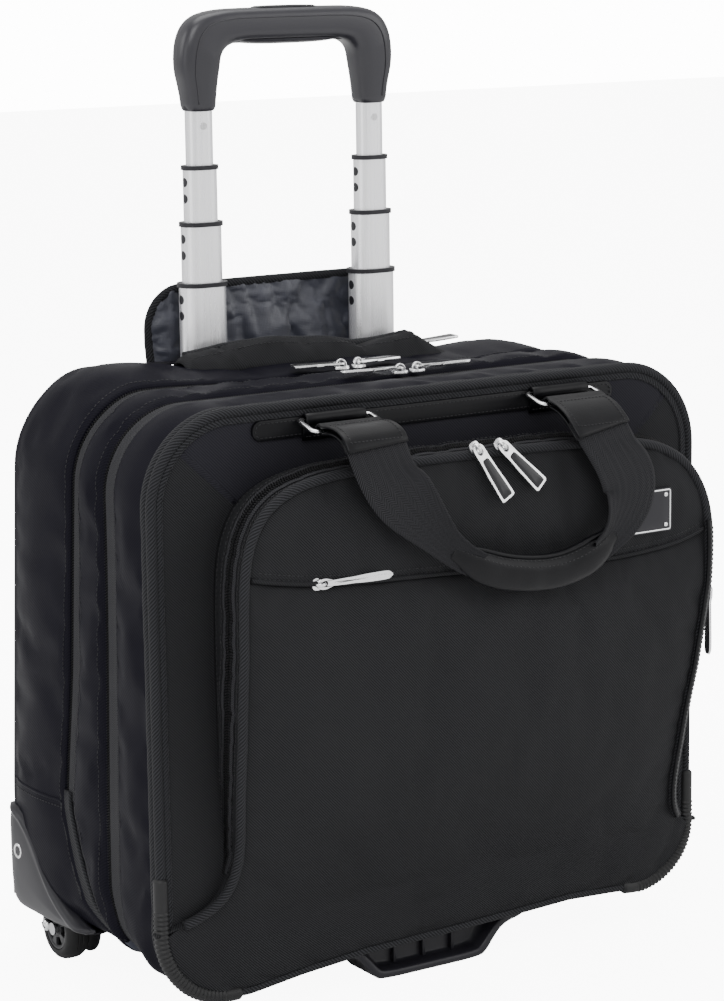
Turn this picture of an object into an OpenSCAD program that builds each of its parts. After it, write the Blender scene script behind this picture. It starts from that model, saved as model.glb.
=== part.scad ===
// Rolling laptop case with a four-stage telescopic handle.
// Origin: on the floor under the middle of the outline seen from above. +X is
// the right side seen from the front, -Y is the front and +Z is up. Millimetres.
// The modules measure Y from the middle of the side walls.

/* [Case] */
// Width across the side walls
case_w = 430; // [424:1:436]
// Height of the top panel above the floor
case_top = 405; // [402:1:410]
// Height of the underside above the floor
case_bottom = 43; // [42:0.5:45]
// Front face of the front panel, as a distance in front of the origin
front_depth = 98; // [97:0.5:99]
// Rear face, as a distance behind the origin
rear_depth = 103; // [102:0.5:106]
// Thickness of the lined and padded walls
wall = 3; // [2:0.5:3.5]
// Corner radius of the top corners
top_radius = 58; // [50:1:64]
// Corner radius of the bottom corners
bottom_radius = 50; // [46:1:54]

/* [Compartments] */
// Rear zip, between the rear and the middle section (Y)
rear_zip_y = 22; // [18:1:26]
// Main zip, between the middle and the front section (Y)
main_zip_y = -33; // [-36:1:-30]
// Gap left open along each zip
zip_gap = 2; // [1:0.5:3]

/* [Front pocket] */
// Left edge of the front pocket (X)
pocket_left = -172; // [-176:1:-166]
// Right edge of the front pocket (X)
pocket_right = 203; // [190:1:203]
// Top of the front pocket
pocket_top = 364; // [358:1:368]
// How far the pocket face stands in front of the front panel at its top
pocket_bulge = 39; // [34:1:42]

/* [Wheels] */
// Wheel radius
wheel_r = 22.5; // [21:0.5:23.5]
// Wheel width
wheel_w = 18; // [16:1:19]
// Middle of each wheel, sideways from the centre
wheel_x = 196; // [194:1:197]
// Wheel axle, behind the origin
wheel_y = 76; // [74:1:78]
// Axle radius
axle_r = 3; // [2.5:0.5:3.5]

/* [Telescopic handle] */
// Distance of each tube from the middle
tube_x = 70; // [66:1:74]
// Tubes' distance behind the origin
tube_y = 84; // [83:0.5:84.5]
// Width of the thinnest tube, which holds the grip
tube_w = 20; // [19:0.5:20.5]
// Depth of the thinnest tube
tube_d = 13.5; // [13:0.5:14]
// How much wider each next tube is
tube_step_w = 4.8; // [4.6:0.1:5]
// How much deeper each next tube is
tube_step_d = 3.3; // [3.2:0.1:3.4]
// Tube wall
tube_wall = 0.9; // [0.8:0.1:1]
// Top of the first collar at rest
collar_1_z = 465; // [455:1:475]
// Top of the second collar at rest
collar_2_z = 507; // [500:1:512]
// Top of the third collar at rest
collar_3_z = 546; // [540:1:550]
// Underside of the grip's legs at rest
grip_z = 583; // [578:1:586]
// Width of the grip
grip_w = 174; // [168:1:180]
// Height of the grip, legs included
grip_h = 69; // [66:1:72]

/* [Carry handle] */
// Centre of the left ring (X)
ring_left_x = -82; // [-90:1:-76]
// Centre of the right ring (X)
ring_right_x = 98; // [92:1:102]
// Radius of the ring's wire
ring_wire_r = 1.5; // [1.4:0.1:1.7]

/* [Hidden] */

$fn = 48;
eps = 0.01;
slip = 0.05;        // radial clearance of every pin in its bore
seat = 0.2;         // clearance between neighbouring pieces
front_y = -front_depth;
cloth_black = "#1d1d21";
nylon_black = "#26262c";
plastic_black = "#222226";
leather_black = "#2a2a30";
silver = "#c9cacc";
lining_grey = "#3b3d4a";

// Bags: depths of the three sections
rear_front = rear_zip_y + zip_gap / 2;
middle_rear = rear_zip_y - zip_gap / 2;
middle_front = main_zip_y + zip_gap / 2;
lid_rear = main_zip_y - zip_gap / 2;
panel_t = 4;                       // front panel, foam between two fabrics
rear_step = 5;                     // how far the rear edge is drawn in
lip_bottom = 20;                   // lower edge of the front panel
floor_half = case_w / 2 - bottom_radius - 4;

// Handle well
well_half = 104;
well_front = 65;
well_back = rear_depth - 3.2;
well_floor = 290;
cup_wall = 1;

// Telescopic stages, from the fixed outer tube (0) to the grip's tube (4)
function stage_w(i) = tube_w + tube_step_w * (4 - i);
function stage_d(i) = tube_d + tube_step_d * (4 - i);
collar_h = 3;
sleeve_h = 26;
boss_r = 3.2;
outer_top = 304;
outer_bottom = 56;
collar_z = [outer_top, collar_1_z, collar_2_z, collar_3_z];
stage_len = [outer_top - collar_h - outer_bottom, 234, 242, 248, 262];
grip_socket = 18;

// Wheels
wheel_gap = 3;
axle_inner = 168;
guard_skin = 3;
guard_rear = 12;

// From the middle of the side walls to the middle of the outline seen from above
strap_reach = 161.5;
frame_shift = (strap_reach - rear_depth - guard_rear) / 2;

// ---------- 2D helpers, drawn in the XZ plane ----------

// Rounded rectangle from x0 to x1 and z0 to z1, with its own radius for the
// top and for the bottom corners
module rounded_rect(x0, x1, z0, z1, r_top, r_bottom) {
    translate([x0, z0 + r_bottom]) square([x1 - x0, z1 - z0 - r_top - r_bottom]);
    translate([x0 + r_top, z1 - r_top]) square([x1 - x0 - 2 * r_top, r_top]);
    translate([x0 + r_bottom, z0]) square([x1 - x0 - 2 * r_bottom, r_bottom]);
    for (x = [x0 + r_top, x1 - r_top]) translate([x, z1 - r_top]) circle(r_top);
    for (x = [x0 + r_bottom, x1 - r_bottom]) translate([x, z0 + r_bottom]) circle(r_bottom);
}

// The case's outline, drawn in by inset
module case_outline(inset = 0, z0 = case_bottom) {
    half = case_w / 2 - inset;
    rounded_rect(-half, half, z0 + inset, case_top - inset,
        top_radius - inset, bottom_radius - inset);
}

module pocket_outline(inset = 0) {
    rounded_rect(pocket_left + inset, pocket_right - inset, 28 + inset, pocket_top - inset,
        52 - inset, 46 - inset);
}

// A flat oval with half-round ends
module oval(w, d) {
    square([w - d, d], center = true);
    for (s = [-1, 1]) translate([s * (w - d) / 2, 0]) circle(d / 2);
}

// Stands an XZ drawing up, from y0 back to y1
module along_y(y0, y1) {
    translate([0, y1, 0]) rotate([90, 0, 0]) linear_extrude(y1 - y0) children();
}

// Stands a YZ drawing up, from x0 to x1
module along_x(x0, x1) {
    translate([x0, 0, 0]) rotate([90, 0, 90]) linear_extrude(x1 - x0) children();
}

// A round bar along X
module bar_x(x0, x1, r) {
    translate([x0, 0, 0]) rotate([0, 90, 0]) cylinder(r = r, h = x1 - x0);
}

module box(low, high) {
    translate(low) cube(high - low);
}

module both_sides() {
    children();
    mirror([1, 0, 0]) children();
}

module placed() {
    translate([0, frame_shift, 0]) children();
}

module both_tubes() {
    for (s = [-1, 1]) translate([s * tube_x, tube_y, 0]) children();
}

// ---------- case: rear and middle sections ----------

module wheel_well(r) {
    both_sides() translate([0, wheel_y, wheel_r]) bar_x(axle_inner, case_w / 2 + 10, r);
}

module rear_shell() color(nylon_black) {
    difference() {
        union() {
            along_y(rear_front, rear_depth - rear_step) case_outline();
            along_y(rear_depth - rear_step - eps, rear_depth) case_outline(inset = rear_step);
        }
        along_y(rear_front - eps, rear_depth - rear_step - wall) case_outline(inset = wall);
        along_y(rear_front - eps, rear_depth - wall) case_outline(inset = rear_step + wall);
        box([-well_half - seat, well_front - seat, case_top - rear_step - wall - 1],
            [well_half + seat, well_back + seat, case_top + 1]);
        wheel_well(wheel_r + 2 * wheel_gap + seat);
    }
}

module middle_shell() color(nylon_black) {
    difference() {
        along_y(middle_front, middle_rear) case_outline();
        along_y(middle_front - eps, middle_rear + eps) case_outline(inset = wall);
    }
}

module bottom_panel() color(cloth_black) {
    difference() {
        box([-floor_half, front_y + panel_t + 1, case_bottom],
            [floor_half, middle_front - seat, case_bottom + wall]);
        foot_screw_places() cylinder(r = screw_r + slip, h = 60);
    }
}

board_z = case_bottom + wall + seat;
board_t = 3;

module base_board() color(plastic_black) {
    difference() {
        box([-floor_half + 4, front_y + panel_t + 2, board_z],
            [floor_half - 4, rear_depth - rear_step - wall - 1, board_z + board_t]);
        wheel_well(wheel_r + 2 * wheel_gap + seat);
        foot_screw_places() translate([0, 0, board_z - 1]) cylinder(r = screw_r + slip, h = 10);
    }
}

module back_board() color("#303036") {
    along_y(well_front - 5, well_front - 2)
        rounded_rect(-188, 188, board_z + board_t + seat, case_top - 12, 40, 30);
}

module laptop_sleeve() color(lining_grey) {
    difference() {
        along_y(rear_front + 3, well_front - 8) rounded_rect(-205, 205, 58, 335, 12, 34);
        along_y(rear_front + 7, well_front - 12) rounded_rect(-201, 201, 62, 345, 1, 30);
    }
}

module divider_panel() color(lining_grey) {
    along_y(middle_rear - 6, middle_rear - 2)
        rounded_rect(-196, 196, board_z + board_t + seat, case_top - 14, 44, 34);
}

// ---------- handle well ----------

module handle_cup() color(plastic_black) {
    difference() {
        box([-well_half, well_front, well_floor], [well_half, well_back, case_top + 1]);
        box([-well_half + cup_wall, well_front + cup_wall, well_floor + cup_wall],
            [well_half - cup_wall, well_back - cup_wall, case_top + 2]);
        both_tubes() translate([0, 0, well_floor - 1]) linear_extrude(4)
            oval(stage_w(0) + 2 * seat, stage_d(0) + 2 * seat);
    }
}

module well_lip() color(cloth_black) {
    lip_r = 5;
    for (x = [-well_half + lip_r, well_half - lip_r])
        translate([x, well_front - lip_r - 2 * seat, case_top + lip_r + seat]) sphere(lip_r);
    translate([0, well_front - lip_r - 2 * seat, case_top + lip_r + seat])
        bar_x(-well_half + lip_r, well_half - lip_r, lip_r);
}

module handle_base() color(plastic_black) {
    difference() {
        union() {
            box([-tube_x - 26, tube_y - 16, board_z + board_t + seat],
                [tube_x + 26, rear_depth - rear_step - wall - 1, outer_bottom + 12]);
            box([-tube_x - 26, tube_y, case_bottom + rear_step + wall + seat],
                [tube_x + 26, rear_depth - wall - 1, outer_bottom + 12]);
        }
        both_tubes() translate([0, 0, outer_bottom]) linear_extrude(20)
            oval(stage_w(0) + 2 * slip, stage_d(0) + 2 * slip);
    }
}

// ---------- telescopic handle ----------

function boss_z(i) = [for (k = [0, 1]) collar_z[i] - collar_h - 8.5 - 11.3 * k];

// Two tubes of one stage, hanging down from their collars
module stage_tubes(i, z_top) {
    difference() {
        both_tubes() translate([0, 0, z_top - stage_len[i]]) linear_extrude(stage_len[i]) difference() {
            oval(stage_w(i), stage_d(i));
            oval(stage_w(i) - 2 * tube_wall, stage_d(i) - 2 * tube_wall);
        }
        if (i < 4) both_tubes() for (z = boss_z(i)) translate([0, 0, z])
            bar_x(-stage_w(i), -stage_w(i) / 4, boss_r + slip);
    }
}

// Guide bushing in the top of each tube: a collar, a sleeve and two snap bosses
module stage_bushings(i) {
    both_tubes() difference() {
        union() {
            translate([0, 0, collar_z[i] - collar_h]) linear_extrude(collar_h)
                oval(stage_w(i) + 2.4, stage_d(i) + 2.4);
            translate([0, 0, collar_z[i] - collar_h - sleeve_h]) linear_extrude(sleeve_h + eps)
                oval(stage_w(i) - 2 * tube_wall - 2 * slip, stage_d(i) - 2 * tube_wall - 2 * slip);
            intersection() {
                for (z = boss_z(i)) translate([0, 0, z]) bar_x(-stage_w(i), -stage_w(i) / 4, boss_r);
                translate([0, 0, collar_z[i] - 60]) linear_extrude(60)
                    oval(stage_w(i) - 2 * slip, stage_d(i) - 2 * slip);
            }
        }
        translate([0, 0, collar_z[i] - 80]) linear_extrude(90)
            oval(stage_w(i + 1) + 4 * slip, stage_d(i + 1) + 4 * slip);
    }
}

module outer_tubes() color(silver) stage_tubes(0, outer_top - collar_h);
module outer_bushings() color(plastic_black) stage_bushings(0);
module stage_1_tubes() color(silver) stage_tubes(1, collar_1_z - collar_h);
module stage_1_bushings() color(plastic_black) stage_bushings(1);
module stage_2_tubes() color(silver) stage_tubes(2, collar_2_z - collar_h);
module stage_2_bushings() color(plastic_black) stage_bushings(2);
module stage_3_tubes() color(silver) stage_tubes(3, collar_3_z - collar_h);
module stage_3_bushings() color(plastic_black) stage_bushings(3);

rivet_z = grip_z - 10;
rivet_r = 1.6;

module top_tubes() color(silver) {
    difference() {
        stage_tubes(4, grip_z + grip_socket - 1);
        grip_rivet_places() translate([0, 0, -1]) cylinder(r = rivet_r + slip, h = 8);
    }
}

// On the front face of each top tube, pointing back into the tube
module grip_rivet_places() {
    both_tubes() translate([0, -tube_d / 2, rivet_z]) rotate([-90, 0, 0]) children();
}

module grip_rivets() color(silver) {
    grip_rivet_places() {
        translate([0, 0, -0.6]) cylinder(r = rivet_r + 0.9, h = 0.55);
        translate([0, 0, -0.1]) cylinder(r = rivet_r, h = 2.4);
    }
}

grip_top = grip_z + grip_h;
bar_t = 21;                        // height of the crossbar
grip_d = 25;                       // grip front to back
button_half = 23.5;
button_travel = 3;
channel_low = grip_top - bar_t + 3;
rod_r = 2.2;

module grip_outline() {
    half = grip_w / 2;
    difference() {
        rounded_rect(-half, half, grip_z, grip_top, 32, 3);
        rounded_rect(-half + 33, half - 33, grip_z - 40, grip_top - bar_t, 22, 1);
    }
}

module grip_body() color(plastic_black) {
    difference() {
        along_y(tube_y - grip_d / 2, tube_y + grip_d / 2) grip_outline();
        both_tubes() translate([0, 0, grip_z - 1]) linear_extrude(grip_socket + 1)
            oval(tube_w + 2 * slip, tube_d + 2 * slip);
        box([-tube_x - 5, tube_y - 4, channel_low], [tube_x + 5, tube_y + 4, channel_low + 9]);
        both_tubes() translate([0, 0, grip_z]) cylinder(r = rod_r + 1.2, h = channel_low - grip_z + 1);
        box([-button_half - seat, tube_y - 5 - seat, channel_low + 8],
            [button_half + seat, tube_y + 5 + seat, grip_top + 1]);
    }
}

module grip_pad() color("#17171a") {
    steps = 5;
    pitch = 12;
    box([-32, tube_y - 9, grip_top - bar_t - 1.7], [32, tube_y + 9, grip_top - bar_t - seat]);
    for (k = [0 : steps - 1]) translate([(k - (steps - 1) / 2) * pitch, tube_y, grip_top - bar_t - 1.6])
        rotate([90, 0, 0]) cylinder(r = 1.2, h = 16, center = true);
}

module release_button() color("#1b1b1e") {
    box([-button_half, tube_y - 5, grip_top - 5], [button_half, tube_y + 5, grip_top + 0.8]);
    box([-8, tube_y - 3, channel_low + 7.2], [8, tube_y + 3, grip_top - 5 + eps]);
}

module release_rods() color(silver) {
    box([-tube_x - rod_r, tube_y - 3, channel_low + 3.6], [tube_x + rod_r, tube_y + 3, channel_low + 7]);
    both_tubes() translate([0, 0, grip_z - 235]) cylinder(r = rod_r, h = channel_low + 4 - grip_z + 235);
}

// ---------- wheels ----------

guard_tip_y = -5;
guard_tip_z = 40;
guard_top = 100;
guard_low = 26;

// Leaf-shaped side view of the guard, drawn in the YZ plane
module guard_outline() {
    back = rear_depth + guard_rear;
    reach = back - 8 - guard_tip_y;
    rise = guard_top - guard_tip_z;
    polygon(concat(
        [for (k = [0 : 12]) let (t = k / 12)
            [guard_tip_y + reach * t, guard_tip_z + rise * (3 * t * t - 2 * t * t * t)]],
        [[back, guard_top - 2], [back, guard_low + 26], [back - 18, guard_low + 4],
            [back - 30, guard_low], [wheel_y - 24, guard_low + 4]]));
}

module wheel_housings() color(plastic_black) {
    outer_x = case_w / 2 + guard_skin;
    difference() {
        both_sides() union() {
            difference() {
                along_x(floor_half + 8, outer_x) guard_outline();
                along_y(rear_front - 60, rear_depth + seat) case_outline(inset = -seat);
            }
            intersection() {
                translate([0, wheel_y, wheel_r])
                    bar_x(wheel_x - wheel_w / 2 - 12, case_w / 2 - 8, wheel_r + 2 * wheel_gap);
                box([0, 0, wheel_r], [case_w, rear_depth - 3.2, guard_top]);
            }
            translate([0, wheel_y, wheel_r]) bar_x(axle_inner + 4, wheel_x - wheel_w / 2 - 1, 12);
        }
        both_sides() translate([0, wheel_y, wheel_r]) {
            bar_x(wheel_x - wheel_w / 2 - 1, case_w, wheel_r + wheel_gap);
            bar_x(axle_inner - 10, case_w, axle_r + slip);
            bar_x(axle_inner - 10, axle_inner + 3.5 + seat, axle_r + 2.5 + seat);
        }
        rivet_places() cylinder(r = rivet_hole_r + slip, h = 30, center = true);
    }
}

rivet_hole_r = 2.6;

// On the outer face of each wheel housing
module rivet_places() {
    for (s = [-1, 1]) translate([s * (case_w / 2 + guard_skin), 91, 76]) rotate([0, s * 90, 0]) children();
}

module housing_rivets() color(silver) {
    rivet_places() {
        translate([0, 0, 0.05]) cylinder(r = 6, h = 1);
        translate([0, 0, -2.6]) cylinder(r = rivet_hole_r, h = 3);
    }
}

module axles() color(silver) {
    both_sides() translate([0, wheel_y, wheel_r]) {
        bar_x(axle_inner, wheel_x + wheel_w / 2 + 2, axle_r);
        bar_x(axle_inner - 1, axle_inner + 3.5, axle_r + 2.5);
        bar_x(wheel_x + wheel_w / 2 + 0.6, wheel_x + wheel_w / 2 + 2.2, axle_r + 1.4);
    }
}

hub_r = 15;

module tyre(x) {
    edge = 4;
    translate([x, wheel_y, wheel_r]) rotate([0, 90, 0]) rotate_extrude() difference() {
        union() {
            translate([hub_r + slip, -wheel_w / 2 + edge]) square([wheel_r - hub_r - slip, wheel_w - 2 * edge]);
            translate([hub_r + slip, -wheel_w / 2]) square([wheel_r - hub_r - slip - edge, wheel_w]);
            for (z = [-1, 1]) translate([wheel_r - edge, z * (wheel_w / 2 - edge)]) circle(edge);
        }
        translate([0, -wheel_w]) square([hub_r + slip, 2 * wheel_w]);
    }
}

module hub(x) {
    spokes = 5;
    half = wheel_w / 2 - 1.5;
    translate([x, wheel_y, wheel_r]) rotate([0, 90, 0]) difference() {
        union() {
            difference() {
                cylinder(r = hub_r, h = 2 * half, center = true);
                cylinder(r = hub_r - 2.6, h = 3 * half, center = true);
            }
            cylinder(r = axle_r + 2.8, h = 2 * half + 1, center = true);
            for (k = [0 : spokes - 1]) rotate([0, 0, k * 360 / spokes])
                translate([axle_r + 1, -1.5, -half + 1]) cube([hub_r - axle_r - 2, 3, 2 * half - 2]);
        }
        cylinder(r = axle_r + slip, h = 4 * half, center = true);
    }
}

module tyre_left() color("#1a1a1c") tyre(-wheel_x);
module tyre_right() color("#1a1a1c") tyre(wheel_x);
module hub_left() color("#2c2c31") hub(-wheel_x);
module hub_right() color("#2c2c31") hub(wheel_x);

// ---------- foot ----------

foot_front = front_y + 8;
foot_back = -58;
screw_r = 2;
screw_x = 55;

module foot_screw_places() {
    for (s = [-1, 1]) translate([s * screw_x, (foot_front + foot_back) / 2 + 3, 0]) children();
}

module front_foot() color(plastic_black) {
    foot_top = case_bottom - seat;
    difference() {
        along_y(foot_front, foot_back)
            polygon([[-42, 0], [42, 0], [60, 22], [80, 22], [80, foot_top], [-80, foot_top], [-80, 22], [-60, 22]]);
        along_y(foot_front - 1, foot_front + 9)
            polygon([[-38, 4], [38, 4], [52, 24], [50, 36], [-50, 36], [-52, 24]]);
        foot_screw_places() {
            translate([0, 0, -1]) cylinder(r = 4.2, h = 27);
            cylinder(r = screw_r + slip, h = 60);
        }
    }
}

module foot_screws() color(silver) {
    foot_screw_places() {
        translate([0, 0, 23.4]) cylinder(r = 4, h = 2.5);
        translate([0, 0, 25]) cylinder(r = screw_r, h = board_z + board_t + 1 - 25);
    }
}

// ---------- front section ----------

module front_shell() color(cloth_black) {
    difference() {
        union() {
            along_y(front_y, front_y + panel_t) case_outline(z0 = lip_bottom);
            along_y(front_y + panel_t - eps, lid_rear) case_outline();
        }
        along_y(front_y + panel_t, lid_rear + eps) case_outline(inset = wall, z0 = case_bottom - 3);
        box([-floor_half - 1, front_y + panel_t, 0], [floor_half + 1, 0, case_bottom + 20]);
    }
}

// Side view of the pocket: full depth at the top, running out near the bottom
module pocket_wedge(grow = 0) {
    face = front_y - pocket_bulge;
    polygon([[front_y + 1, 10], [front_y - 6 - grow, 10], [front_y - 7 - grow, 60],
        [face + 18 - grow, 137], [face + 7 - grow, 195], [face - grow, 255], [face - grow, 420],
        [front_y + 1, 420]]);
}

module front_pocket() color(cloth_black) {
    skin = 2.5;
    difference() {
        intersection() {
            along_x(pocket_left - 10, pocket_right + 10) pocket_wedge();
            along_y(front_y - 60, front_y - seat) pocket_outline();
        }
        intersection() {
            along_x(pocket_left - 10, pocket_right + 10) pocket_wedge(grow = -skin);
            along_y(front_y - 60, front_y + 5) pocket_outline(inset = skin);
        }
    }
}

module piping_band() {
    along_y(front_y - 5, front_y - seat) difference() {
        case_outline(inset = -3, z0 = lip_bottom);
        case_outline(inset = 3.5, z0 = lip_bottom);
    }
}

// The two lower front corners, grown or drawn in along the piping
module corner_zones(grow = 0) {
    both_sides() box([168 - grow, front_y - 30, -10], [case_w, front_y + 30, 104 + grow]);
}

module front_piping() color(cloth_black) {
    difference() {
        piping_band();
        corner_zones(grow = seat);
    }
}

module corner_guards() color("#141416") {
    intersection() {
        along_y(front_y - 7, front_y - seat) difference() {
            case_outline(inset = -4.5, z0 = lip_bottom);
            case_outline(inset = 5, z0 = lip_bottom);
        }
        corner_zones();
    }
}

module pocket_piping() color(cloth_black) {
    difference() {
        intersection() {
            along_x(pocket_left - 10, pocket_right + 10) pocket_wedge(grow = 4);
            along_y(front_y - 60, front_y - 7) difference() {
                pocket_outline();
                pocket_outline(inset = 7);
            }
        }
        along_x(pocket_left - 20, pocket_right + 20) pocket_wedge(grow = seat);
        box([pocket_left - 20, front_y - 80, 0], [pocket_right + 20, front_y, 74]);
    }
}

strip_y = front_y - 2;

ring_rear = [front_y - 6.2, 396];     // rear bar of each ring (Y, Z)
ring_front = [front_y - 24.5, 391];   // front bar, which carries the strap
ring_half = 27;
loop_half = 23;
loop_r = 3.4;

// Leather strip across the yoke, with a loop for each ring
module yoke_strip() color(leather_black) {
    along_y(strip_y, front_y - seat) rounded_rect(-142, 146, 381, 399, 8, 8);
    for (x = [ring_left_x, ring_right_x]) translate([x, 0, 0]) difference() {
        union() {
            translate([0, ring_rear[0], ring_rear[1]]) bar_x(-loop_half, loop_half, loop_r);
            box([-loop_half, ring_rear[0] - 1, ring_rear[1] - 12],
                [loop_half, strip_y + eps, ring_rear[1]]);
        }
        translate([0, ring_rear[0], ring_rear[1]])
            bar_x(-loop_half - 1, loop_half + 1, ring_wire_r + slip);
    }
}

badge_centre = [145, 313];
badge_size = [35, 28];
badge_pin_x = 14;
badge_pin_z = 10.5;

module badge_plate() color(plastic_black) {
    face = front_y - pocket_bulge - seat;
    along_y(face - 1.2, face) translate(badge_centre) square(badge_size, center = true);
    along_y(face - 1.7, face - 1) translate(badge_centre) difference() {
        square(badge_size, center = true);
        square(badge_size - [2, 2], center = true);
    }
    for (x = [-badge_pin_x, badge_pin_x], z = [-badge_pin_z, badge_pin_z])
        translate([badge_centre[0] + x, face - 1, badge_centre[1] + z])
            rotate([90, 0, 0]) cylinder(r = 1.6, h = 0.9);
}

module organiser_panel() color(lining_grey) {
    y0 = front_y + panel_t + seat;
    along_y(y0, y0 + 3) rounded_rect(-180, 180, 90, 360, 30, 30);
    for (k = [0 : 2]) along_y(y0 + 3 - eps, y0 + 9)
        rounded_rect(-165 + k * 112, -62 + k * 112, 110, 230 - k * 22, 6, 10);
}

// ---------- carry handle ----------

module ring(x) {
    dy = ring_front[0] - ring_rear[0];
    dz = ring_front[1] - ring_rear[1];
    len = sqrt(dy * dy + dz * dz);
    translate([x, ring_rear[0], ring_rear[1]]) rotate([atan2(dz, -dy) * -1, 0, 0]) {
        bar_x(-ring_half, ring_half, ring_wire_r);
        translate([0, -len, 0]) bar_x(-ring_half, ring_half, ring_wire_r);
        for (s = [-ring_half, ring_half]) {
            translate([s, 0, 0]) sphere(ring_wire_r);
            translate([s, -len, 0]) sphere(ring_wire_r);
            translate([s, 0, 0]) rotate([90, 0, 0]) cylinder(r = ring_wire_r, h = len);
        }
    }
}

module rings() color(silver) {
    ring(ring_left_x);
    ring(ring_right_x);
}

// Leather ends of the strap, looped round the front bar of each ring
module strap_tabs() color(leather_black) {
    for (x = [ring_left_x, ring_right_x]) translate([x, ring_front[0], ring_front[1]])
        difference() {
            union() {
                bar_x(-loop_half, loop_half, loop_r);
                rotate([45, 0, 0]) box([-loop_half, -26, -loop_r + 0.6], [loop_half, -2, -0.6]);
            }
            bar_x(-loop_half - 1, loop_half + 1, ring_wire_r + slip);
        }
}

// Middle line of the strap as [x, y, z, turn], from the left tab to the right
// one. Turn is the angle of the flat of the webbing about the vertical.
strap_path = [
    [ring_left_x + 3, -143, 369, 0], [ring_left_x + 12, -149, 352, 0],
    [ring_left_x + 26, -153, 332, 20], [ring_left_x + 46, -155, 310, 50],
    [ring_left_x + 70, -156, 295, 80], [ring_left_x + 98, -156, 286, 90],
    [ring_left_x + 128, -156, 284, 90], [ring_right_x - 24, -156, 288, 90],
    [ring_right_x + 2, -156, 298, 75], [ring_right_x + 14, -155, 312, 45],
    [ring_right_x + 18, -153, 332, 15], [ring_right_x + 12, -149, 352, 0],
    [ring_right_x + 3, -143, 369, 0]];
strap_w = 46;
grip_first = 4;
grip_last = 8;

module strap_slice(k, width, thick) {
    p = strap_path[k];
    a = strap_path[max(k - 1, 0)];
    b = strap_path[min(k + 1, len(strap_path) - 1)];
    slope = atan2(b[2] - a[2], b[0] - a[0]);
    squeeze = 1 - 0.6 * sin(p[3]);
    translate([p[0], p[1], p[2]]) rotate([0, -slope, 0])
        cube([1, thick + p[3] / 18, width * squeeze], center = true);
}

module strap_run(first, last, width, thick) {
    for (k = [first : last - 1]) hull() {
        strap_slice(k, width, thick);
        strap_slice(k + 1, width, thick);
    }
}

module carry_strap() color(cloth_black) {
    strap_run(0, grip_first - 1, strap_w, 3);
    strap_run(grip_last + 1, len(strap_path) - 1, strap_w, 3);
}

module carry_grip() color(leather_black) {
    strap_run(grip_first, grip_last, strap_w, 6);
}

// ---------- flap ----------

flap_y = rear_depth - 1.2;
flap_z = case_top + 3;

module handle_flap() color(lining_grey) {
    along_y(flap_y, flap_y + 4) rounded_rect(-110, 98, flap_z + 0.5, flap_z + 52, 22, 2);
}

// ---------- zips: every slider and pull has its pivot at its own origin and
// points along its own +X, with its own +Z away from the fabric ----------

post = 1.6;         // thickness of a slider's bridge
slider_low = -3.8;
slider_top = -1.6;

module slider() {
    reach = 3.4;
    box([-4.8, -4, slider_low], [4.8, 4, slider_top]);
    for (x = [-reach, reach - post]) box([x, -1.2, slider_top - eps], [x + post, 1.2, 3]);
    box([-reach, -1.2, 1.8], [reach, 1.2, 3]);
}

module pull(length, width) {
    half_t = 1;
    difference() {
        box([-half_t, -width / 2, -half_t], [length, width / 2, half_t]);
        box([half_t, -1.7, -5], [5, 1.7, 5]);
        box([8, -width / 2 + 1.4, half_t - 0.5], [length - 1.8, width / 2 - 1.4, 5]);
        box([8, -width / 2 + 1.4, -5], [length - 1.8, width / 2 - 1.4, -half_t + 0.5]);
    }
}

top_pivot = case_top + 1.5 - slider_low;
slim = 6;
wide = 12;
main_meet = 23;

// Place of each zip's pivot, and its turn, by name
module at_main_left() translate([main_meet - 7, main_zip_y - 1, top_pivot]) rotate([0, 0, 172]) children();
module at_main_right() translate([main_meet + 7, main_zip_y - 1, top_pivot]) rotate([0, 0, -4]) children();
module at_rear_left() translate([-4, rear_zip_y - 5, top_pivot]) rotate([0, 0, 168]) children();
module at_rear_right() translate([10, rear_zip_y - 5, top_pivot]) rotate([0, 0, 10]) children();
pocket_face = front_y - pocket_bulge;
// The pocket's zip runs on its top gusset, close to the face
module at_pocket(x, lean) translate([x, pocket_face - 5.8, pocket_top + 7])
    rotate([0, 76, -90]) rotate([0, 0, lean]) children();
module at_pocket_left() at_pocket(4, 28) children();
module at_pocket_right() at_pocket(24, 42) children();
module at_side() translate([pocket_right + seat - slider_low, front_y - 30, 246]) rotate([0, 90, 0]) children();
module at_slot() translate([-117, pocket_face - seat + slider_low, 296]) rotate([90, 0, 0]) children();
module at_flap() translate([104, rear_depth - 9, top_pivot]) rotate([0, 0, -2]) children();

module rear_sliders() color(silver) {
    at_rear_left() slider();
    at_rear_right() slider();
    at_flap() slider();
}

module front_sliders() color(silver) {
    at_pocket_left() slider();
    at_pocket_right() slider();
    at_side() slider();
}

module main_slider_left() color(silver) at_main_left() slider();
module main_slider_right() color(silver) at_main_right() slider();
module main_pull_left() color(silver) at_main_left() pull(44, slim);
module main_pull_right() color(silver) at_main_right() pull(42, slim);
module rear_pull_left() color(silver) at_rear_left() pull(36, wide);
module rear_pull_right() color(silver) at_rear_right() pull(36, wide);
module pocket_pull_left() color(silver) at_pocket_left() pull(40, wide);
module pocket_pull_right() color(silver) at_pocket_right() pull(40, wide);
module slot_slider() color(silver) at_slot() slider();
module slot_pull() color(silver) at_slot() pull(54, slim);
module side_pull() color(silver) at_side() pull(46, slim);
module flap_pull() color(silver) at_flap() pull(46, wide);

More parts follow.
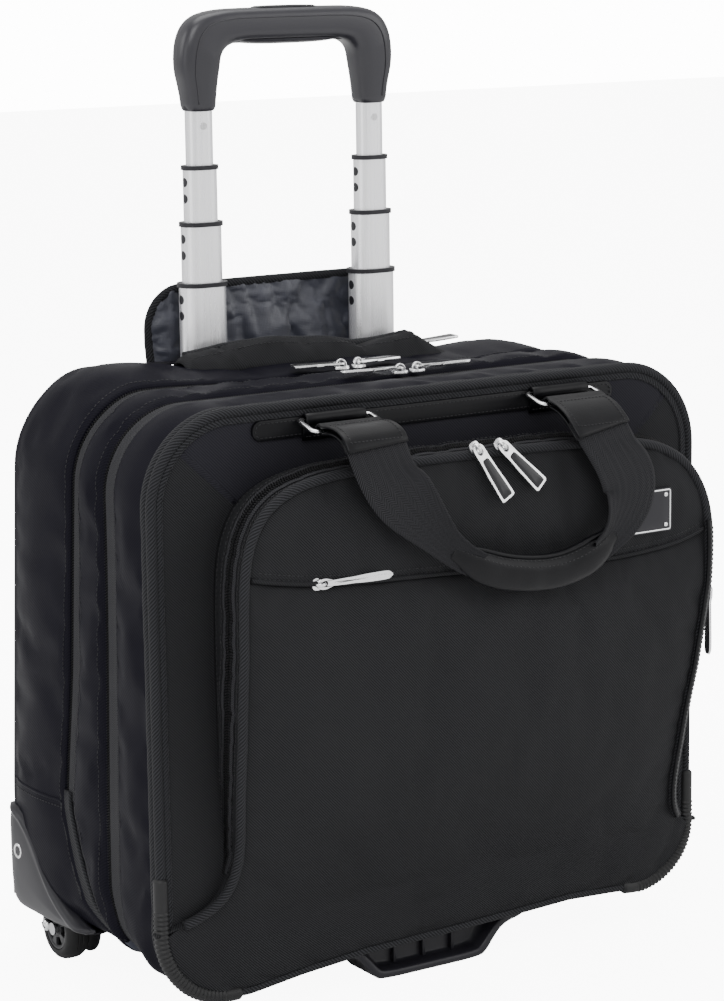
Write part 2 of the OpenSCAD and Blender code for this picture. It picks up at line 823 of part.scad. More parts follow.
placed() rear_shell();
placed() middle_shell();
placed() bottom_panel();
placed() base_board();
placed() back_board();
placed() laptop_sleeve();
placed() divider_panel();
placed() handle_cup();
placed() well_lip();
placed() handle_base();
placed() outer_tubes();
placed() outer_bushings();
placed() wheel_housings();
placed() housing_rivets();
placed() axles();
placed() front_foot();
placed() foot_screws();
placed() rear_sliders();
placed() front_shell();
placed() front_pocket();
placed() front_piping();
placed() pocket_piping();
placed() corner_guards();
placed() yoke_strip();
placed() badge_plate();
placed() organiser_panel();
placed() front_sliders();
placed() rings();
placed() strap_tabs();
placed() carry_strap();
placed() carry_grip();
placed() stage_1_tubes();
placed() stage_1_bushings();
placed() stage_2_tubes();
placed() stage_2_bushings();
placed() stage_3_tubes();
placed() stage_3_bushings();
placed() top_tubes();
placed() grip_body();
placed() grip_pad();
placed() grip_rivets();
placed() release_button();
placed() release_rods();
placed() tyre_left();
placed() hub_left();
placed() tyre_right();
placed() hub_right();
placed() handle_flap();
placed() main_slider_left();
placed() main_slider_right();
placed() main_pull_left();
placed() main_pull_right();
placed() rear_pull_left();
placed() rear_pull_right();
placed() pocket_pull_left();
placed() pocket_pull_right();
placed() slot_slider();
placed() slot_pull();
placed() side_pull();
placed() flap_pull();
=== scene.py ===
"""Looks of the rolling laptop case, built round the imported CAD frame. +Z is up and -Y is the front."""
import math
import bpy
import bmesh
import numpy as np
from mathutils import Matrix, Vector, noise
from mathutils.bvhtree import BVHTree


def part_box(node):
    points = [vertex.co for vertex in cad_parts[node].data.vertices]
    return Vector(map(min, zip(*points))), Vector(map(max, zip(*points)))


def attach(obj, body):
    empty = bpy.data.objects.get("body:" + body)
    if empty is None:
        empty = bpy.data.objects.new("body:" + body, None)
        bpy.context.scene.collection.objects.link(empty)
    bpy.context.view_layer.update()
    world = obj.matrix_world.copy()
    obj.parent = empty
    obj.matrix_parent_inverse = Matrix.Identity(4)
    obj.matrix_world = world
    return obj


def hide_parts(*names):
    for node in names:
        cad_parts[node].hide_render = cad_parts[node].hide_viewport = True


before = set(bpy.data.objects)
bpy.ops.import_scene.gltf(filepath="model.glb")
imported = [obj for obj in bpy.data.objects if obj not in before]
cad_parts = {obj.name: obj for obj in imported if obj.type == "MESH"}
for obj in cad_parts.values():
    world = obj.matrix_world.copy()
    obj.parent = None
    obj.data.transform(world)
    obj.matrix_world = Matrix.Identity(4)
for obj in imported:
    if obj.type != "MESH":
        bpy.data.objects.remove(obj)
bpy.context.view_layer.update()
MM = 0.001
# Lengths here are millimetres, and Y counts from the middle of the side walls; SHIFT leads to the frame.
SHIFT = np.array([0.0, 23.25, 0.0])


# ---------------------------------------------------------------- frame sizes
def low_high(node):
    """Lowest and highest corner of a CAD node."""
    low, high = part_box(node)
    return np.array(low) / MM - SHIFT, np.array(high) / MM - SHIFT


_, SHELL_HIGH = low_high("rear_shell")
PANEL_LOW, _ = low_high("front_shell")
POCKET_LOW, POCKET_HIGH = low_high("front_pocket")
HALF_W = SHELL_HIGH[0]              # half of the case's width
TOP = SHELL_HIGH[2]                 # top panel
BACK = SHELL_HIGH[1] + 3.0          # rear face, padded out a little beyond its frame
FRONT = PANEL_LOW[1]                # front panel's face
LIP = PANEL_LOW[2]                  # lower edge of the front panel
R_TOP, R_BOTTOM = 58.0, 50.0
R_SIDE_LOW = 26.0                   # bottom corners of the soft side walls
SAG = 38.0                          # the soft bottom hangs a little under its board
POCKET_TOP = POCKET_HIGH[2]
POCKET_FACE = POCKET_LOW[1]
REAR_ZIP, MAIN_ZIP = 16.0, -33.0
ZIP_HALF = 2.6                      # half width of a zip's coil


# ---------------------------------------------------------------- mesh helpers
MADE = []                           # every piece made here, for settle()


def make_object(name, verts, faces, uvs=None):
    """Mesh object from points in millimetres; uvs are one (u, v) per face corner, in metres."""
    mesh = bpy.data.meshes.new(name)
    mesh.from_pydata(((np.asarray(verts, float) + SHIFT) * MM).tolist(), [],
                     [list(map(int, f)) for f in faces])
    if uvs is not None:
        layer = mesh.uv_layers.new(name="metres")
        layer.data.foreach_set("uv", np.asarray(uvs, np.float32).ravel())
    mesh.polygons.foreach_set("use_smooth", [True] * len(mesh.polygons))
    mesh.update()
    obj = bpy.data.objects.new(name, mesh)
    bpy.context.scene.collection.objects.link(obj)
    MADE.append(obj)
    return obj


def grid_faces(rows, cols, closed=False):
    """Quads between neighbouring rows and columns."""
    r, c = np.meshgrid(np.arange(rows if closed else rows - 1), np.arange(cols - 1), indexing="ij")
    a = (r * cols + c).ravel()
    b = (((r + 1) % rows) * cols + c).ravel()
    return np.stack([a, b, b + 1, a + 1], 1)


def grid_object(name, points, uv, closed=False, flip=False):
    """Quad sheet from a (rows, cols, 3) array. uv is in metres, with an extra row if closed."""
    rows, cols = points.shape[:2]
    faces = grid_faces(rows, cols, closed)
    urows = rows + 1 if closed else rows
    r, c = np.meshgrid(np.arange(urows - 1), np.arange(cols - 1), indexing="ij")
    corner = [(r, c), (r + 1, c), (r + 1, c + 1), (r, c + 1)]
    uvs = np.stack([uv[i.ravel(), j.ravel()] for i, j in corner], 1)
    if flip:
        faces = faces[:, ::-1]
        uvs = uvs[:, ::-1]
    return make_object(name, points.reshape(-1, 3), faces, uvs.reshape(-1, 2))


def modifier(obj, kind, **settings):
    """Adds a modifier and sets its values."""
    m = obj.modifiers.new(kind.lower(), kind)
    for key, value in settings.items():
        setattr(m, key, value)
    return m


def finish_piece(obj, body, material, replaces=(), thick=0.0, inner=None, subdiv=0):
    """Material, thickness, smoothing and body of one piece; hides the CAD parts it replaces."""
    obj.data.materials.append(material)
    if inner is not None:
        obj.data.materials.append(inner)
    if thick:
        modifier(obj, "SOLIDIFY", thickness=thick * MM, offset=-1.0, use_rim=True,
                 material_offset=1 if inner is not None else 0)
    if subdiv:
        modifier(obj, "SUBSURF", levels=subdiv, render_levels=subdiv)
    if body:
        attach(obj, body)
    if replaces:
        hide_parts(*replaces)
    return obj


def run_length(p):
    """Length along a polyline at each of its points."""
    return np.concatenate([[0], np.cumsum(np.linalg.norm(np.diff(p, axis=0), axis=1))])


def resample(path, step=None, count=None, closed=False):
    """Even points along a polyline, with their arc length."""
    p = np.asarray(path, float)
    if closed:
        p = np.vstack([p, p[:1]])
    s = run_length(p)
    n = count or max(2, int(round(s[-1] / step)) + 1)
    t = np.linspace(0, s[-1], n, endpoint=not closed)
    return np.stack([np.interp(t, s, p[:, k]) for k in range(p.shape[1])], 1), t


def smooth_path(path, rounds=3):
    """Chaikin corner cutting that keeps both ends."""
    p = np.asarray(path, float)
    for _ in range(rounds):
        q = p[:-1] * 0.75 + p[1:] * 0.25
        r = p[:-1] * 0.25 + p[1:] * 0.75
        mid = np.empty((2 * len(q), p.shape[1]))
        mid[0::2], mid[1::2] = q, r
        p = np.vstack([p[:1], mid, p[-1:]])
    return p


def unit(v):
    """Vectors scaled to length 1."""
    return v / np.maximum(np.linalg.norm(v, axis=-1, keepdims=True), 1e-9)


def tangents(path, closed=False):
    """Unit vectors along a path."""
    p = np.asarray(path, float)
    if closed:
        return unit(np.roll(p, -1, 0) - np.roll(p, 1, 0))
    return unit(np.gradient(p, axis=0))


def side_vectors(path, normals, closed=False):
    """Unit vectors across a path, square to its normals."""
    return unit(np.cross(tangents(path, closed), normals))


def sweep(name, path, normals, section, closed=False, scale=None):
    """Carries a closed cross-section [(across, out)] along a path. normals say which way is out."""
    p = np.asarray(path, float)
    n = unit(np.asarray(normals, float))
    b = side_vectors(p, n, closed)
    sec = np.asarray(section, float)
    k = np.ones(len(p)) if scale is None else np.asarray(scale, float)
    pts = (p[:, None] + b[:, None] * (sec[None, :, 0:1] * k[:, None, None])
           + n[:, None] * (sec[None, :, 1:2] * k[:, None, None]))
    rows, cols = pts.shape[:2]
    s = run_length(p)
    if closed:
        s = np.concatenate([s, [s[-1] + np.linalg.norm(p[0] - p[-1])]])
    ring = np.concatenate([sec, sec[:1]])
    w = run_length(ring)
    faces, uvs = [], []
    for i in range(rows if closed else rows - 1):
        j = (i + 1) % rows
        for c in range(cols):
            d = (c + 1) % cols
            faces.append((i * cols + c, i * cols + d, j * cols + d, j * cols + c))
            uvs += [(s[i], w[c]), (s[i], w[c + 1]), (s[i + 1], w[c + 1]), (s[i + 1], w[c])]
    verts = pts.reshape(-1, 3)
    if not closed:
        faces.append(tuple(range(cols))[::-1])
        faces.append(tuple((rows - 1) * cols + c for c in range(cols)))
        uvs += [tuple(x) for x in sec[::-1]] + [tuple(x) for x in sec]
    return make_object(name, verts, faces, np.asarray(uvs) * MM)


def even_frames(path, normals, step, closed=False):
    """Points and unit normals at even steps along a path."""
    q, _ = resample(np.hstack([path, normals]), step=step, closed=closed)
    return q[:, :3], unit(q[:, 3:])


def round_section(radius, count=12):
    """A round cross-section."""
    a = np.linspace(0, 2 * math.pi, count, endpoint=False)
    return np.stack([radius * np.cos(a), radius * np.sin(a)], 1)


def flat_section(width, thick, edge=4):
    """A flat strap's cross-section with rounded edges."""
    r = thick / 2
    a = np.linspace(-math.pi / 2, math.pi / 2, edge + 1)
    right = np.stack([width / 2 - r + r * np.cos(a), r * np.sin(a)], 1)
    left = -right
    mid = [[x, r] for x in np.linspace(width / 2 - r, -width / 2 + r, 8)[1:-1]]
    low = [[-x, -y] for x, y in mid]
    return np.vstack([right, mid, left, low])


def scatter(name, places, along, across, out, shape, faces):
    """Copies a small shape to many places. shape is [(along, across, out)] in millimetres."""
    shape = np.asarray(shape, float)
    verts = (np.asarray(places)[:, None] + along[:, None] * shape[None, :, 0:1]
             + across[:, None] * shape[None, :, 1:2] + out[:, None] * shape[None, :, 2:3])
    base = np.arange(len(places))[:, None] * len(shape)
    all_faces = []
    for f in faces:
        all_faces += (base + np.asarray(f)[None]).tolist()
    return make_object(name, verts.reshape(-1, 3), all_faces)


def thread_shape(length, radius):
    """A short thread: two rings and two tips."""
    sides = 5
    pts, faces = [], []
    for x in (-0.3, 0.3):
        for k in range(sides):
            a = 2 * math.pi * k / sides
            pts.append((x * length, radius * math.cos(a), radius * math.sin(a)))
    pts += [(-length / 2, 0, -radius), (length / 2, 0, -radius)]
    for k in range(sides):
        m = (k + 1) % sides
        faces.append((k, m, sides + m, sides + k))
        faces.append((m, k, 2 * sides))
        faces.append((sides + k, sides + m, 2 * sides + 1))
    return pts, faces


THREAD_RADIUS, THREAD_LIFT = 0.34, 0.1


def stitches(name, path, normals, body, pitch=3.4, length=2.5, closed=False):
    """A row of lockstitch threads along a path."""
    p, n = even_frames(path, normals, pitch, closed)
    t = tangents(p, closed)
    shape, faces = thread_shape(length, THREAD_RADIUS)
    obj = scatter(name, p + n * THREAD_LIFT, t, np.cross(n, t), n, shape, faces)
    return finish_piece(obj, body, THREAD)


COIL_PITCH = 1.9
ZIP_STEP = 0.9                      # spacing of the points along a zip's path


def teeth(name, path, normals, side, body):
    """One half of a coil zip: a row of rounded loops reaching from one side to the middle."""
    p, n = even_frames(path, normals, COIL_PITCH)
    t = tangents(p)
    b = unit(np.cross(t, n)) * side
    p = p + t * (0.25 * COIL_PITCH * side)
    w, h, d = ZIP_HALF + 0.35, 1.0, 0.36 * COIL_PITCH
    shape = [(-d, w, -0.4), (d, w, -0.4), (d, -0.35, -0.4), (-d, -0.35, -0.4),
             (-d * 0.5, w - 0.5, h), (d * 0.5, w - 0.5, h), (d * 0.5, 0.1, h), (-d * 0.5, 0.1, h)]
    faces = [(0, 3, 2, 1), (4, 5, 6, 7), (0, 1, 5, 4), (1, 2, 6, 5), (2, 3, 7, 6), (3, 0, 4, 7)]
    obj = scatter(name, p, t, b, n, shape, faces)
    return finish_piece(obj, body, TOOTH)


TAPE_THICK = 1.0


def strip(name, path, normals, offset, width, body, material, lift=0.0):
    """A flat tape beside a path: offset is the middle of the tape, measured across from the path."""
    p, n = np.asarray(path, float), unit(np.asarray(normals, float))
    b = side_vectors(p, n)
    obj = sweep(name, p + b * offset + n * lift, n, flat_section(width, TAPE_THICK))
    return finish_piece(obj, body, material)


def fold_noise(points, size, seed):
    """Smooth deterministic noise, about -1 to 1, at points in millimetres."""
    shift = Vector((seed * 17.3, seed * 5.1, seed * 9.7))
    flat = points.reshape(-1, 3) / size
    return np.array([noise.noise(Vector(p) + shift) for p in flat]).reshape(points.shape[:-1])


CLOTH_STEPS = 24


def puff(obj, pinned, pressure, slack, cap, stiff=8.0, bend=2.0):
    """Cloth simulation of a sewn panel. pinned is True on sewn vertices, and cap limits the move, in mm."""
    count = len(obj.data.vertices)
    before = np.zeros(count * 3)
    obj.data.vertices.foreach_get("co", before)
    group = obj.vertex_groups.new(name="sewn")
    group.add([int(i) for i in np.flatnonzero(pinned)], 1.0, "REPLACE")
    cloth = obj.modifiers.new("cloth", "CLOTH")
    for key, value in (("quality", 5), ("mass", 0.25), ("tension_stiffness", stiff),
                       ("compression_stiffness", stiff), ("shear_stiffness", stiff * 0.6),
                       ("bending_stiffness", bend), ("air_damping", 4.0), ("vertex_group_mass", "sewn"),
                       ("shrink_min", -slack), ("use_pressure", True), ("uniform_pressure_force", pressure)):
        setattr(cloth.settings, key, value)
    cloth.settings.effector_weights.gravity = 0.0
    cloth.collision_settings.use_collision = False
    scene = bpy.context.scene
    cloth.point_cache.frame_start = 1
    cloth.point_cache.frame_end = CLOTH_STEPS
    for step in range(1, CLOTH_STEPS + 1):
        scene.frame_set(step)
    evaluated = obj.evaluated_get(bpy.context.evaluated_depsgraph_get())
    after = np.zeros(count * 3)
    evaluated.data.vertices.foreach_get("co", after)
    obj.modifiers.remove(cloth)
    scene.frame_set(1)
    move = (after - before).reshape(-1, 3)
    size = np.linalg.norm(move, axis=1)
    top = cap * MM
    move *= (np.tanh(size / top) * top / np.maximum(size, 1e-9))[:, None]
    obj.data.vertices.foreach_set("co", (before.reshape(-1, 3) + move).ravel())
    obj.data.update()
    return obj


def drape(obj, points, normals, reach=16.0, lift=0.0):
    """Moves points onto obj's surface along their normals. Returns the points and the surface normals."""
    mesh = obj.data
    tree = BVHTree.FromPolygons([v.co.copy() for v in mesh.vertices],
                                [tuple(p.vertices) for p in mesh.polygons])
    out_p, out_n = [], []
    for p, n in zip(np.asarray(points, float), unit(np.asarray(normals, float))):
        start = Vector((p + n * reach + SHIFT) * MM)
        hit, normal, _, _ = tree.ray_cast(start, Vector(-n), 2.5 * reach * MM)
        if hit is None:
            hit, normal, _, _ = tree.find_nearest(Vector((p + SHIFT) * MM))
        normal = np.array(normal)
        if normal @ n < 0:
            normal = -normal
        out_n.append(normal)
        out_p.append(np.array(hit) / MM - SHIFT + normal * lift)
    n = np.array(out_n)
    k = np.array([0.25, 0.5, 0.25])
    if len(n) > 6:
        n[1:-1] = sum(w * n[i:len(n) - 2 + i] for i, w in enumerate(k))
    return np.array(out_p), unit(n)


def smoothstep(a, b, x):
    """0 at a, 1 at b, and smooth between."""
    t = np.clip((np.asarray(x, float) - a) / (b - a), 0, 1)
    return t * t * (3 - 2 * t)


# ---------------------------------------------------------------- outline of the case
STRAIGHT_LOW, CORNER_LOW, SIDE, CORNER_TOP, STRAIGHT_TOP = 24, 16, 44, 18, 52
RING = 2 * (STRAIGHT_LOW + CORNER_LOW + SIDE + CORNER_TOP) + STRAIGHT_TOP
LEFT_LOW = STRAIGHT_LOW                                  # first sample of the lower left corner
LEFT_SIDE = LEFT_LOW + CORNER_LOW
LEFT_TOP = LEFT_SIDE + SIDE
TOP_LEFT = LEFT_TOP + CORNER_TOP
TOP_RIGHT = TOP_LEFT + STRAIGHT_TOP
RIGHT_SIDE = TOP_RIGHT + CORNER_TOP
RIGHT_LOW = RIGHT_SIDE + SIDE
LOW_RIGHT = RIGHT_LOW + CORNER_LOW


def low_radius(low):
    """Bottom corners are tight along the side walls and wide at the front panel."""
    return R_SIDE_LOW + (R_BOTTOM - R_SIDE_LOW) * float(smoothstep(SAG - 4, LIP + 3, low))


def ring(low=None):
    """Outline from the middle of the bottom, up the left side, over the top and down the right side."""
    low = SAG if low is None else low
    half, top = HALF_W, TOP
    pts, nrm = [], []

    def line(a, b, n, count):
        for t in np.arange(count) / count:
            pts.append((a[0] + (b[0] - a[0]) * t, a[1] + (b[1] - a[1]) * t))
            nrm.append(n)

    def arc(cx, cz, r, a0, a1, count):
        for t in np.arange(count) / count:
            a = math.radians(a0 + (a1 - a0) * t)
            pts.append((cx + r * math.cos(a), cz + r * math.sin(a)))
            nrm.append((math.cos(a), math.sin(a)))

    rb, rt = low_radius(low), R_TOP
    line((0, low), (-half + rb, low), (0, -1), STRAIGHT_LOW)
    arc(-half + rb, low + rb, rb, 270, 180, CORNER_LOW)
    line((-half, low + rb), (-half, top - rt), (-1, 0), SIDE)
    arc(-half + rt, top - rt, rt, 180, 90, CORNER_TOP)
    line((-half + rt, top), (half - rt, top), (0, 1), STRAIGHT_TOP)
    arc(half - rt, top - rt, rt, 90, 0, CORNER_TOP)
    line((half, top - rt), (half, low + rb), (1, 0), SIDE)
    arc(half - rb, low + rb, rb, 0, -90, CORNER_LOW)
    line((half - rb, low), (0, low), (0, -1), STRAIGHT_LOW)
    return np.array(pts), np.array(nrm, float)


RING_XZ, _ = ring()
ZIP_END = 128.0                     # height at which the rear zip stops
ZIP_END_LEFT = LEFT_SIDE + int(np.sum(RING_XZ[LEFT_SIDE:LEFT_SIDE + SIDE, 1] < ZIP_END))
ZIP_END_RIGHT = RIGHT_LOW - int(np.sum(RING_XZ[RIGHT_SIDE:RIGHT_LOW, 1] < ZIP_END))


def rear_zip_y():
    """The rear zip drifts back on its way down the sides."""
    z = RING_XZ[:, 1]
    forward = np.interp(z, [30, 44, 52, 63, 82, 101, 125], [46, 46, 38, 25, 15, 8, 0])
    return REAR_ZIP + 5.0 * smoothstep(230, 130, z) - forward


def main_zip_y():
    """The main zip drifts back down the sides and forward again under the case."""
    z = RING_XZ[:, 1]
    return MAIN_ZIP + 7.0 * smoothstep(330, 90, z) - 13.0 * smoothstep(84, 44, z)


def band(y, inset, low):
    """Points and uvs of a sheet round the outline. y and inset are (RING, cols), low is (cols,)."""
    cols = len(low)
    rings = [ring(v) for v in low]
    xz = np.stack([r[0] for r in rings], 1)
    nn = np.stack([r[1] for r in rings], 1)
    y = np.broadcast_to(y, (RING, cols))
    inset = np.broadcast_to(inset, (RING, cols))
    p = np.stack([xz[..., 0] - inset * nn[..., 0], y, xz[..., 1] - inset * nn[..., 1]], -1)
    s = run_length(np.vstack([xz[:, 0], xz[:1, 0]]))
    v = np.vstack([y, y[:1]])
    uv = np.stack([np.broadcast_to(s[:, None], v.shape), v], -1) * MM
    return p, uv, nn


HEM_DROP, HEM_ROLL = 2.4, 1.6       # how deep a folded hem tucks in, and over what width


def hem_profile(y0, y1, cols, bulge):
    """Columns between two folded edges: their y, and how far each stands inside the outline."""
    t = np.linspace(0, 1, cols)
    t = 0.5 - 0.5 * np.cos(math.pi * t) * (1 - 0.15 * np.sin(math.pi * t) ** 2)
    width = np.abs(np.mean(y1) - np.mean(y0))
    near = np.minimum(t, 1 - t) * width
    inset = HEM_DROP * np.exp(-(near / HEM_ROLL) ** 2 * 2.2) - bulge * np.sin(math.pi * t) ** 0.8
    y = y0[:, None] + (y1 - y0)[:, None] * t[None]
    return y, np.broadcast_to(inset, y.shape)


def ruffle(p, nn, amount, size, seed, fade):
    """Soft unevenness of hand-sewn fabric, faded out towards the seams."""
    n = (fold_noise(p, size, seed) * amount + fold_noise(p, size * 0.35, seed + 3) * amount * 0.3) * fade
    p[..., 0] += n * nn[..., 0]
    p[..., 2] += n * nn[..., 1]
    return p


def fade_for(cols):
    """Weights that fall to nothing at both sewn edges."""
    return np.sin(math.pi * np.linspace(0, 1, cols)) ** 0.7


def panel(left, right, top, bottom, nu, nv):
    """Grid between four edge curves. left and right run down, top and bottom run from left to right."""
    le, _ = resample(left, count=nv)
    ri, _ = resample(right, count=nv)
    to, _ = resample(top, count=nu)
    bo, _ = resample(bottom, count=nu)
    u = np.linspace(0, 1, nu)[None, :, None]
    v = np.linspace(0, 1, nv)[:, None, None]
    return ((1 - u) * le[:, None] + u * ri[:, None] + (1 - v) * to[None] + v * bo[None]
            - ((1 - u) * (1 - v) * to[0] + u * (1 - v) * to[-1] + (1 - u) * v * bo[0] + u * v * bo[-1]))


def edge_distance(points, path):
    """Distance in XZ from every grid point to a path."""
    flat = points.reshape(-1, 3)[:, [0, 2]]
    q = np.asarray(path)[:, [0, 2]]
    best = np.full(len(flat), 1e9)
    for k in range(0, len(q), 64):
        d = np.linalg.norm(flat[:, None] - q[None, k:k + 64], axis=2).min(1)
        best = np.minimum(best, d)
    return best.reshape(points.shape[:2])


# ---------------------------------------------------------------- materials
def new_material(name, colour, rough, metallic=0.0, specular=0.5, sheen=0.0, coat=0.0):
    """Plain surface, before its pattern is added."""
    m = bpy.data.materials.new(name)
    m.use_nodes = True
    inputs = m.node_tree.nodes["Principled BSDF"].inputs
    for key, value in (("Base Color", (*colour, 1)), ("Roughness", rough), ("Metallic", metallic),
                       ("Specular IOR Level", specular), ("Sheen Weight", sheen), ("Sheen Roughness", 0.5),
                       ("Coat Weight", coat), ("Coat Roughness", 0.35)):
        inputs[key].default_value = value
    m.diffuse_color = (*colour, 1)
    return m


class Nodes:
    """Short calls for building a material's node tree."""

    def __init__(self, material):
        self.tree = material.node_tree
        self.bsdf = self.tree.nodes["Principled BSDF"]

    def add(self, kind, **values):
        n = self.tree.nodes.new(kind)
        for k, v in values.items():
            if hasattr(n, k):
                setattr(n, k, v)
            else:
                n.inputs[k].default_value = v
        return n

    def link(self, a, b):
        self.tree.links.new(a, b)

    def math(self, op, a, b=None):
        n = self.tree.nodes.new("ShaderNodeMath")
        n.operation = op
        for i, v in enumerate([a] if b is None else [a, b]):
            if isinstance(v, (int, float)):
                n.inputs[i].default_value = v
            else:
                self.link(v, n.inputs[i])
        return n.outputs[0]

    def blend(self, a, share_a, b, share_b):
        """Weighted sum of two values."""
        return self.math("ADD", self.math("MULTIPLY", a, share_a), self.math("MULTIPLY", b, share_b))

    def uv(self, objects=False):
        n = self.tree.nodes.new("ShaderNodeTexCoord")
        s = self.tree.nodes.new("ShaderNodeSeparateXYZ")
        self.link(n.outputs["Object" if objects else "UV"], s.inputs[0])
        return n.outputs["Object" if objects else "UV"], s.outputs

    def noise(self, vector, scale, detail=3.0):
        n = self.add("ShaderNodeTexNoise", Scale=scale, Detail=detail)
        self.link(vector, n.inputs["Vector"])
        return n.outputs[0]

    def bump(self, height, distance, strength=1.0):
        n = self.add("ShaderNodeBump", Strength=strength, Distance=distance)
        self.link(height, n.inputs["Height"])
        self.link(n.outputs[0], self.bsdf.inputs["Normal"])

    def tint(self, share, dark, light):
        n = self.tree.nodes.new("ShaderNodeMix")
        n.data_type = "RGBA"
        n.inputs[6].default_value = (*dark, 1)
        n.inputs[7].default_value = (*light, 1)
        self.link(share, n.inputs[0])
        self.link(n.outputs[2], self.bsdf.inputs["Base Color"])

    def roughen(self, share, low, high):
        n = self.add("ShaderNodeMapRange")
        self.link(share, n.inputs[0])
        n.inputs[3].default_value, n.inputs[4].default_value = low, high
        self.link(n.outputs[0], self.bsdf.inputs["Roughness"])


def wave_of(k, value, period):
    """0 to 1 sine wave of a length in metres."""
    s = k.math("SINE", k.math("MULTIPLY", value, 2 * math.pi / period))
    return k.math("ADD", k.math("MULTIPLY", s, 0.5), 0.5)


def twill_material(name, dark, light, period=0.0019, depth=0.00022, sheen=0.25):
    """Diagonal ribs crossed by fine threads, with faint wear. The colour is painted highlight on the ribs
    and painted shade in the grooves.
    """
    m = new_material(name, dark, 0.62, specular=0.07, sheen=sheen)
    k = Nodes(m)
    vector, uv = k.uv()
    slope = k.math("ADD", uv[0], uv[1])
    rib = wave_of(k, slope, period)
    cross = wave_of(k, k.math("SUBTRACT", uv[0], uv[1]), period * 0.36)
    fuzz = k.noise(vector, 900.0)
    weave = k.blend(rib, 0.72, cross, 0.2)
    weave = k.math("ADD", weave, k.math("MULTIPLY", fuzz, 0.16))
    k.bump(weave, depth, 0.9)
    wear = k.noise(vector, 14.0)
    # painted highlight and shade: the colour follows the weave's height, light on the ribs and dark in the
    # grooves; the wear noise varies it at random
    k.tint(k.math("MULTIPLY", weave, k.math("ADD", k.math("MULTIPLY", wear, 0.25), 0.8)), dark, light)
    k.roughen(fuzz, 0.52, 0.76)
    return m


def nylon_material(name, dark, light):
    """Smooth coated nylon: very fine weave and a soft shine, with painted sheen on the weave's threads."""
    m = new_material(name, dark, 0.62, specular=0.035, sheen=0.0)
    k = Nodes(m)
    vector, uv = k.uv()
    a = wave_of(k, k.math("ADD", uv[0], uv[1]), 0.0021)
    b = wave_of(k, uv[1], 0.00085)
    weave = k.blend(a, 0.7, b, 0.3)
    cloud = k.noise(vector, 30.0)
    k.bump(k.blend(weave, 0.22, cloud, 0.8), 0.0006, 0.55)
    # painted sheen: the colour is lighter on the fine weave's threads, with a little random cloudy tone
    k.tint(k.blend(weave, 0.85, cloud, 0.15), dark, light)
    k.roughen(cloud, 0.38, 0.56)
    return m


def chevron_material(name, dark, light, width=0.0032, period=0.0016):
    """Herringbone weave of zip tape and webbing: ribs that turn back every few millimetres. Painted
    highlight on the ribs, painted shade between them.
    """
    m = new_material(name, dark, 0.6, specular=0.08, sheen=0.02)
    k = Nodes(m)
    vector, uv = k.uv()
    turn = k.math("PINGPONG", uv[1], width)
    rib = wave_of(k, k.math("ADD", uv[0], turn), period)
    fuzz = k.noise(vector, 1200.0)
    weave = k.blend(rib, 0.85, fuzz, 0.15)
    k.bump(weave, 0.0003, 0.9)
    # painted highlight and shade: the colour follows the ribs' height, light on top and dark between them
    k.tint(weave, dark, light)
    return m


def plain_material(name, colour, light, rough, specular=0.3):
    """Moulded or cast surface: fine grain and slow changes of gloss."""
    m = new_material(name, colour, rough, specular=specular)
    k = Nodes(m)
    vector, _ = k.uv(objects=True)
    fine = k.noise(vector, 700.0, 2.0)
    slow = k.noise(vector, 6.0)
    k.bump(fine, 0.00005, 0.6)
    k.tint(slow, colour, light)
    k.roughen(slow, rough - 0.08, rough + 0.1)
    return m


def brushed_material(name, colour, light, rough=0.3, metallic=1.0):
    """Anodised aluminium drawn along its length, with fine lines."""
    m = new_material(name, colour, rough, metallic)
    k = Nodes(m)
    vector, _ = k.uv(objects=True)
    stretch = k.add("ShaderNodeMapping", Scale=(900.0, 900.0, 6.0))
    k.link(vector, stretch.inputs[0])
    lines = k.noise(stretch.outputs[0], 1.0, 2.0)
    k.bump(lines, 0.00002, 0.5)
    k.tint(lines, colour, light)
    k.roughen(lines, rough - 0.05, rough + 0.08)
    return m


def lining_material(name, dark, light):
    """Thin crinkled lining cloth with a plain weave, painted darker in the dips of the crinkles as shade."""
    m = new_material(name, dark, 0.42, specular=0.5, sheen=0.2)
    k = Nodes(m)
    vector, uv = k.uv()
    weave = k.math("MULTIPLY", wave_of(k, uv[0], 0.0011), wave_of(k, uv[1], 0.0011))
    crinkle_and_shade = k.noise(vector, 70.0, 4.0)
    k.bump(k.math("ADD", k.math("MULTIPLY", weave, 0.1), crinkle_and_shade), 0.0009, 0.8)
    # painted shade: the crinkle noise that shapes the bump also darkens the colour where the cloth dips
    k.tint(crinkle_and_shade, dark, light)
    return m


def leather_material(name, dark, light):
    """Grained leather with slow changes of tone."""
    m = new_material(name, dark, 0.42, specular=0.16, coat=0.02)
    k = Nodes(m)
    vector, _ = k.uv(objects=True)
    cell = k.add("ShaderNodeTexVoronoi", Scale=950.0)
    k.link(vector, cell.inputs["Vector"])
    slow = k.noise(vector, 60.0, 4.0)
    k.bump(k.math("ADD", k.math("MULTIPLY", cell.outputs[0], 0.25), slow), 0.00035, 0.6)
    k.tint(slow, dark, light)
    k.roughen(slow, 0.34, 0.5)
    return m


# The light colours of the twill materials are painted highlight on their ribs; the dark colours are painted
# shade in their grooves.
TWILL = twill_material("twill", (0.0008, 0.0008, 0.001), (0.0255, 0.0258, 0.028), sheen=0.0)
CORD = twill_material("piping twill", (0.0008, 0.0008, 0.001), (0.031, 0.0315, 0.035), period=0.0026,
                      depth=0.0004, sheen=0.02)
# The smooth nylon's light colour is painted sheen on the weave's threads.
NYLON = nylon_material("smooth nylon", (0.0016, 0.0015, 0.0032), (0.0088, 0.0082, 0.0128))
